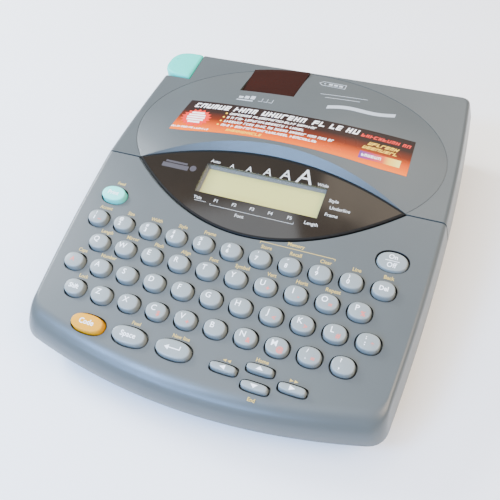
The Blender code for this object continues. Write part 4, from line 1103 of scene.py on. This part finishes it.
# ---------------------------------------------------------------- cutter button
def button_outline(inset):
    straight = BUTTON_STRAIGHT_X - inset
    y_middle, half_y = sum(BUTTON_Y) / 2, (BUTTON_Y[1] - BUTTON_Y[0]) / 2 - inset
    flat = 0.006
    centre_x, reach = BUTTON_STRAIGHT_X - flat, BUTTON_REACH - flat - inset
    corner = 0.0016
    points = [(straight - corner * 0.3, y_middle + half_y - corner * 0.3),
              (straight, y_middle + half_y - corner), (straight, y_middle - half_y + corner),
              (straight - corner * 0.3, y_middle - half_y + corner * 0.3),
              (straight - corner, y_middle - half_y)]
    steps, roundness = 40, 2.6
    for i in range(steps + 1):
        angle = -math.pi / 2 - math.pi * i / steps
        c, s = math.cos(angle), math.sin(angle)
        points.append((centre_x - reach * abs(c) ** (2 / roundness),
                       y_middle + half_y * math.copysign(abs(s) ** (2 / roundness), s)))
    points.append((straight - corner, y_middle + half_y))
    return points


def build_button():
    rings = [at_height(button_outline(0.002), BUTTON_TOP - WALL),
             at_height(button_outline(0.002), BUTTON_SKIRT),
             at_height(button_outline(0.0003), BUTTON_SKIRT),
             at_height(button_outline(0.0), BUTTON_SKIRT + 0.0003)]
    edge, crown = 0.002, 0.0006
    for i in range(7):
        angle = math.radians(15 * i)
        rings.append(at_height(button_outline(edge * (1 - math.cos(angle))),
                               BUTTON_TOP - crown - edge * (1 - math.sin(angle))))
    middle = (BUTTON_STRAIGHT_X - BUTTON_REACH / 2, sum(BUTTON_Y) / 2)
    last = button_outline(edge)
    for share in (0.75, 0.5, 0.25, 0.05):
        ring = [(middle[0] + (x - middle[0]) * share, middle[1] + (y - middle[1]) * share)
                for x, y in last]
        rings.append(at_height(ring, BUTTON_TOP - crown + crown * (1 - share ** 2)))
    cap = loft(rings)
    tube((*STEM, (0.04 + BUTTON_TOP - 0.0012) / 2), 0.0021, BUTTON_TOP - 0.0412, segments=28,
         mesh=cap)
    show("cutter_button_cap", cap, TEAL, "cutter_button", ["cutter_button"], 40.0)
    sign = bmesh.new()
    x, y = middle[0] + 0.0005, middle[1]
    for turn in (-1, 1):
        flat_line(sign, [(x - 0.004, y + 0.0022 * turn), (x + 0.0034, y - 0.0016 * turn)], 0.0004)
        flat_line(sign, circle((x - 0.005, y + 0.0027 * turn), 0.0013, 16), 0.0004)
    film("cutter_sign", sign, TEAL, "cutter_button", lambda u, v: BUTTON_TOP - 0.00025,
         -0.0003, 0.00012, UPRIGHT)


# ---------------------------------------------------------------- under the cover
def build_cassette():
    low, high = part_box("tape_cassette")
    hub = (-0.0322, 0.0693)
    body = solid(soft_block(low, high, 0.0012))
    hole = solid(tube((*hub, low.z), 0.0048, 2 * (0.033 - low.z), segments=40))
    seat = solid(block((low.x + 0.006, 0.064, high.z - 0.0008), (0.002, 0.104, 0.06)))
    grooves = bmesh.new()
    half, top = 0.0012, 0.06
    for x in (low.x + 0.0025, high.x - 0.0035):
        for i in range(5):
            y = 0.006 * i
            block((x - half, 0.07 + y, high.z - 0.0006), (x + half, 0.0722 + y, top), grooves)
    body = carve(body, (CUT, hole), (CUT, seat), (CUT, solid(grooves)))
    show("cassette_shell", body, CASSETTE, "cassette", ["tape_cassette"], weighted=True)
    label = soft_block((-0.034, 0.0644, high.z - 0.00078), (0.0016, 0.101, high.z - 0.0003), 0.0001)
    show("cassette_label", label, PAPER, "cassette")
    marks = bmesh.new()
    flat_box(marks, (-0.032, 0.094), (-0.012, 0.0965))
    flat_box(marks, (-0.032, 0.068), (-0.002, 0.0705))
    for i in range(4):
        flat_box(marks, (-0.032, 0.088 - 0.004 * i), (-0.006 - 0.004 * i, 0.0892 - 0.004 * i))
    film("cassette_label_print", marks, DECAL_DARK, "cassette", lambda x, y: high.z - 0.0003,
         -0.00005, 0.00005, UPRIGHT)


def build_spring():
    turns, per_turn, radius, wire = 2, 20, 0.003, 0.00035
    line = bpy.data.curves.new("cutter_coil", "CURVE")
    line.dimensions, line.bevel_depth, line.bevel_resolution = "3D", wire, 3
    line.use_fill_caps = True
    spline = line.splines.new("POLY")
    count = turns * per_turn + 1
    spline.points.add(count - 1)
    low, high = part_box("cutter_spring")
    for i in range(count):
        angle = math.tau * i / per_turn
        z = low.z + wire + (high.z - low.z - 2 * wire) * i / (count - 1)
        spline.points[i].co = (
            STEM[0] + radius * math.cos(angle), STEM[1] + radius * math.sin(angle), z, 1.0)
    line.materials.append(STEEL)
    coil = add_object("cutter_coil", line)
    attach(coil, CASING)
    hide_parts("cutter_spring")


def finish_nodes():
    """Materials and fine edges for the CAD pieces that keep their own shape."""
    sharp, rounded = False, True
    looks = (
        (BOARD, sharp, "keypad_board main_board"),
        (NYLON, sharp, "idler_gear platen_gear ribbon_gear"),
        (STEEL, sharp, "motor_pinion cutter_blade battery_contacts_front battery_contacts_rear"),
        (STEEL, sharp, "hinge_pin_left hinge_pin_right"),
        (STEEL, sharp, "case_screw_1 case_screw_2 case_screw_3 case_screw_4"),
        (CELL, sharp, "battery_1 battery_2 battery_3 battery_4 battery_5 battery_6"),
        (RUBBER, sharp, "platen_roller"), (PAPER, sharp, "label_tape"),
        (SHELL, rounded, "battery_door"), (STEEL, rounded, "drive_motor head_arm"),
        (DARK, rounded, "chassis_plate print_head cutter_guide battery_box"),
        (RUBBER, rounded, "foot_front_left foot_front_right foot_rear_left foot_rear_right"),
        (RUBBER, rounded, "power_jack"))
    for look, edges, names in looks:
        for node in (nodes[name] for name in names.split()):
            dress(node, look)
            if edges == rounded:
                bevel = node.modifiers.new("edge", "BEVEL")
                bevel.width, bevel.segments = 0.0003, 2
                bevel.limit_method, bevel.angle_limit = "ANGLE", math.radians(50.0)


# ---------------------------------------------------------------- stage
def build_stage():
    floor, tree, shader = node_material("studio_floor")
    paper = noise(tree, 6.0, 3.0)
    shade = ramp(tree, paper.outputs["Fac"], [(0.3, (0.93, 0.93, 0.93)), (0.7, (0.95, 0.95, 0.945))])
    tree.links.new(shade.outputs["Color"], shader.inputs["Base Color"])
    put(shader, {"Roughness": 0.7})
    mesh = bmesh.new()
    bmesh.ops.create_grid(mesh, x_segments=8, y_segments=8, size=3.0)
    ground = solid(mesh)
    ground.name = "floor"
    ground.data.materials.append(floor)

    world = bpy.data.worlds.new("studio")
    bpy.context.scene.world = world
    world.use_nodes = True
    put(world.node_tree.nodes["Background"], {"Color": (0.98, 0.96, 0.94, 1.0), "Strength": 0.95})

    target = Vector((0, 0, 0.04))
    blue_sky = (0.24, 0.5, 1.0)
    softboxes = (       # name, place, width and depth, watts, colour
        ("sky_panel", (-0.3, -0.16, 1.0), (1.1, 0.7), 9.0, (0.84, 0.92, 1.0)),
        ("window_light", (-0.92, 0.26, 0.66), (0.36, 0.3), 19.0, (0.86, 0.93, 1.0)),
        ("room_fill", (0.9, -0.1, 1.0), (0.8, 0.8), 20.0, (1.0, 0.8, 0.6)),
        ("rear_glow", (0.16, 0.75, 1.05), (0.7, 0.7), 4.5, (1.0, 0.84, 0.66)),
        ("low_strip", (-0.36, -1.0, 0.58), (0.7, 0.2), 14.0, blue_sky),
        ("sky_strip", (-0.5, -0.62, 0.85), (0.36, 0.2), 18.0, blue_sky))
    for name, place, size, power, colour in softboxes:
        lamp = bpy.data.lights.new(name, "AREA")
        lamp.shape, lamp.size, lamp.size_y = "RECTANGLE", *size
        lamp.energy, lamp.color = power, colour
        carrier = add_object(name, lamp)
        carrier.location = place
        carrier.rotation_euler = (Vector(place) - target).to_track_quat("Z", "Y").to_euler()

    camera = bpy.data.cameras.new("camera")
    camera.lens, camera.sensor_width = 44.64, 36.0
    camera.clip_start, camera.clip_end = 0.01, 20.0
    seat = add_object("camera", camera)
    seat.location = (0.10452, -0.22243, 0.31069)
    seat.rotation_euler = Euler([math.radians(a) for a in (38.513, 4.641, 21.108)])
    bpy.context.scene.camera = seat


build_stage()
build_base()
build_deck()
build_cover()
build_keys()
build_key_prints()
build_deck_print()
build_display()
build_decal()
build_cover_print()
build_window()
build_button()
build_cassette()
build_spring()
finish_nodes()

bpy.context.view_layer.update()
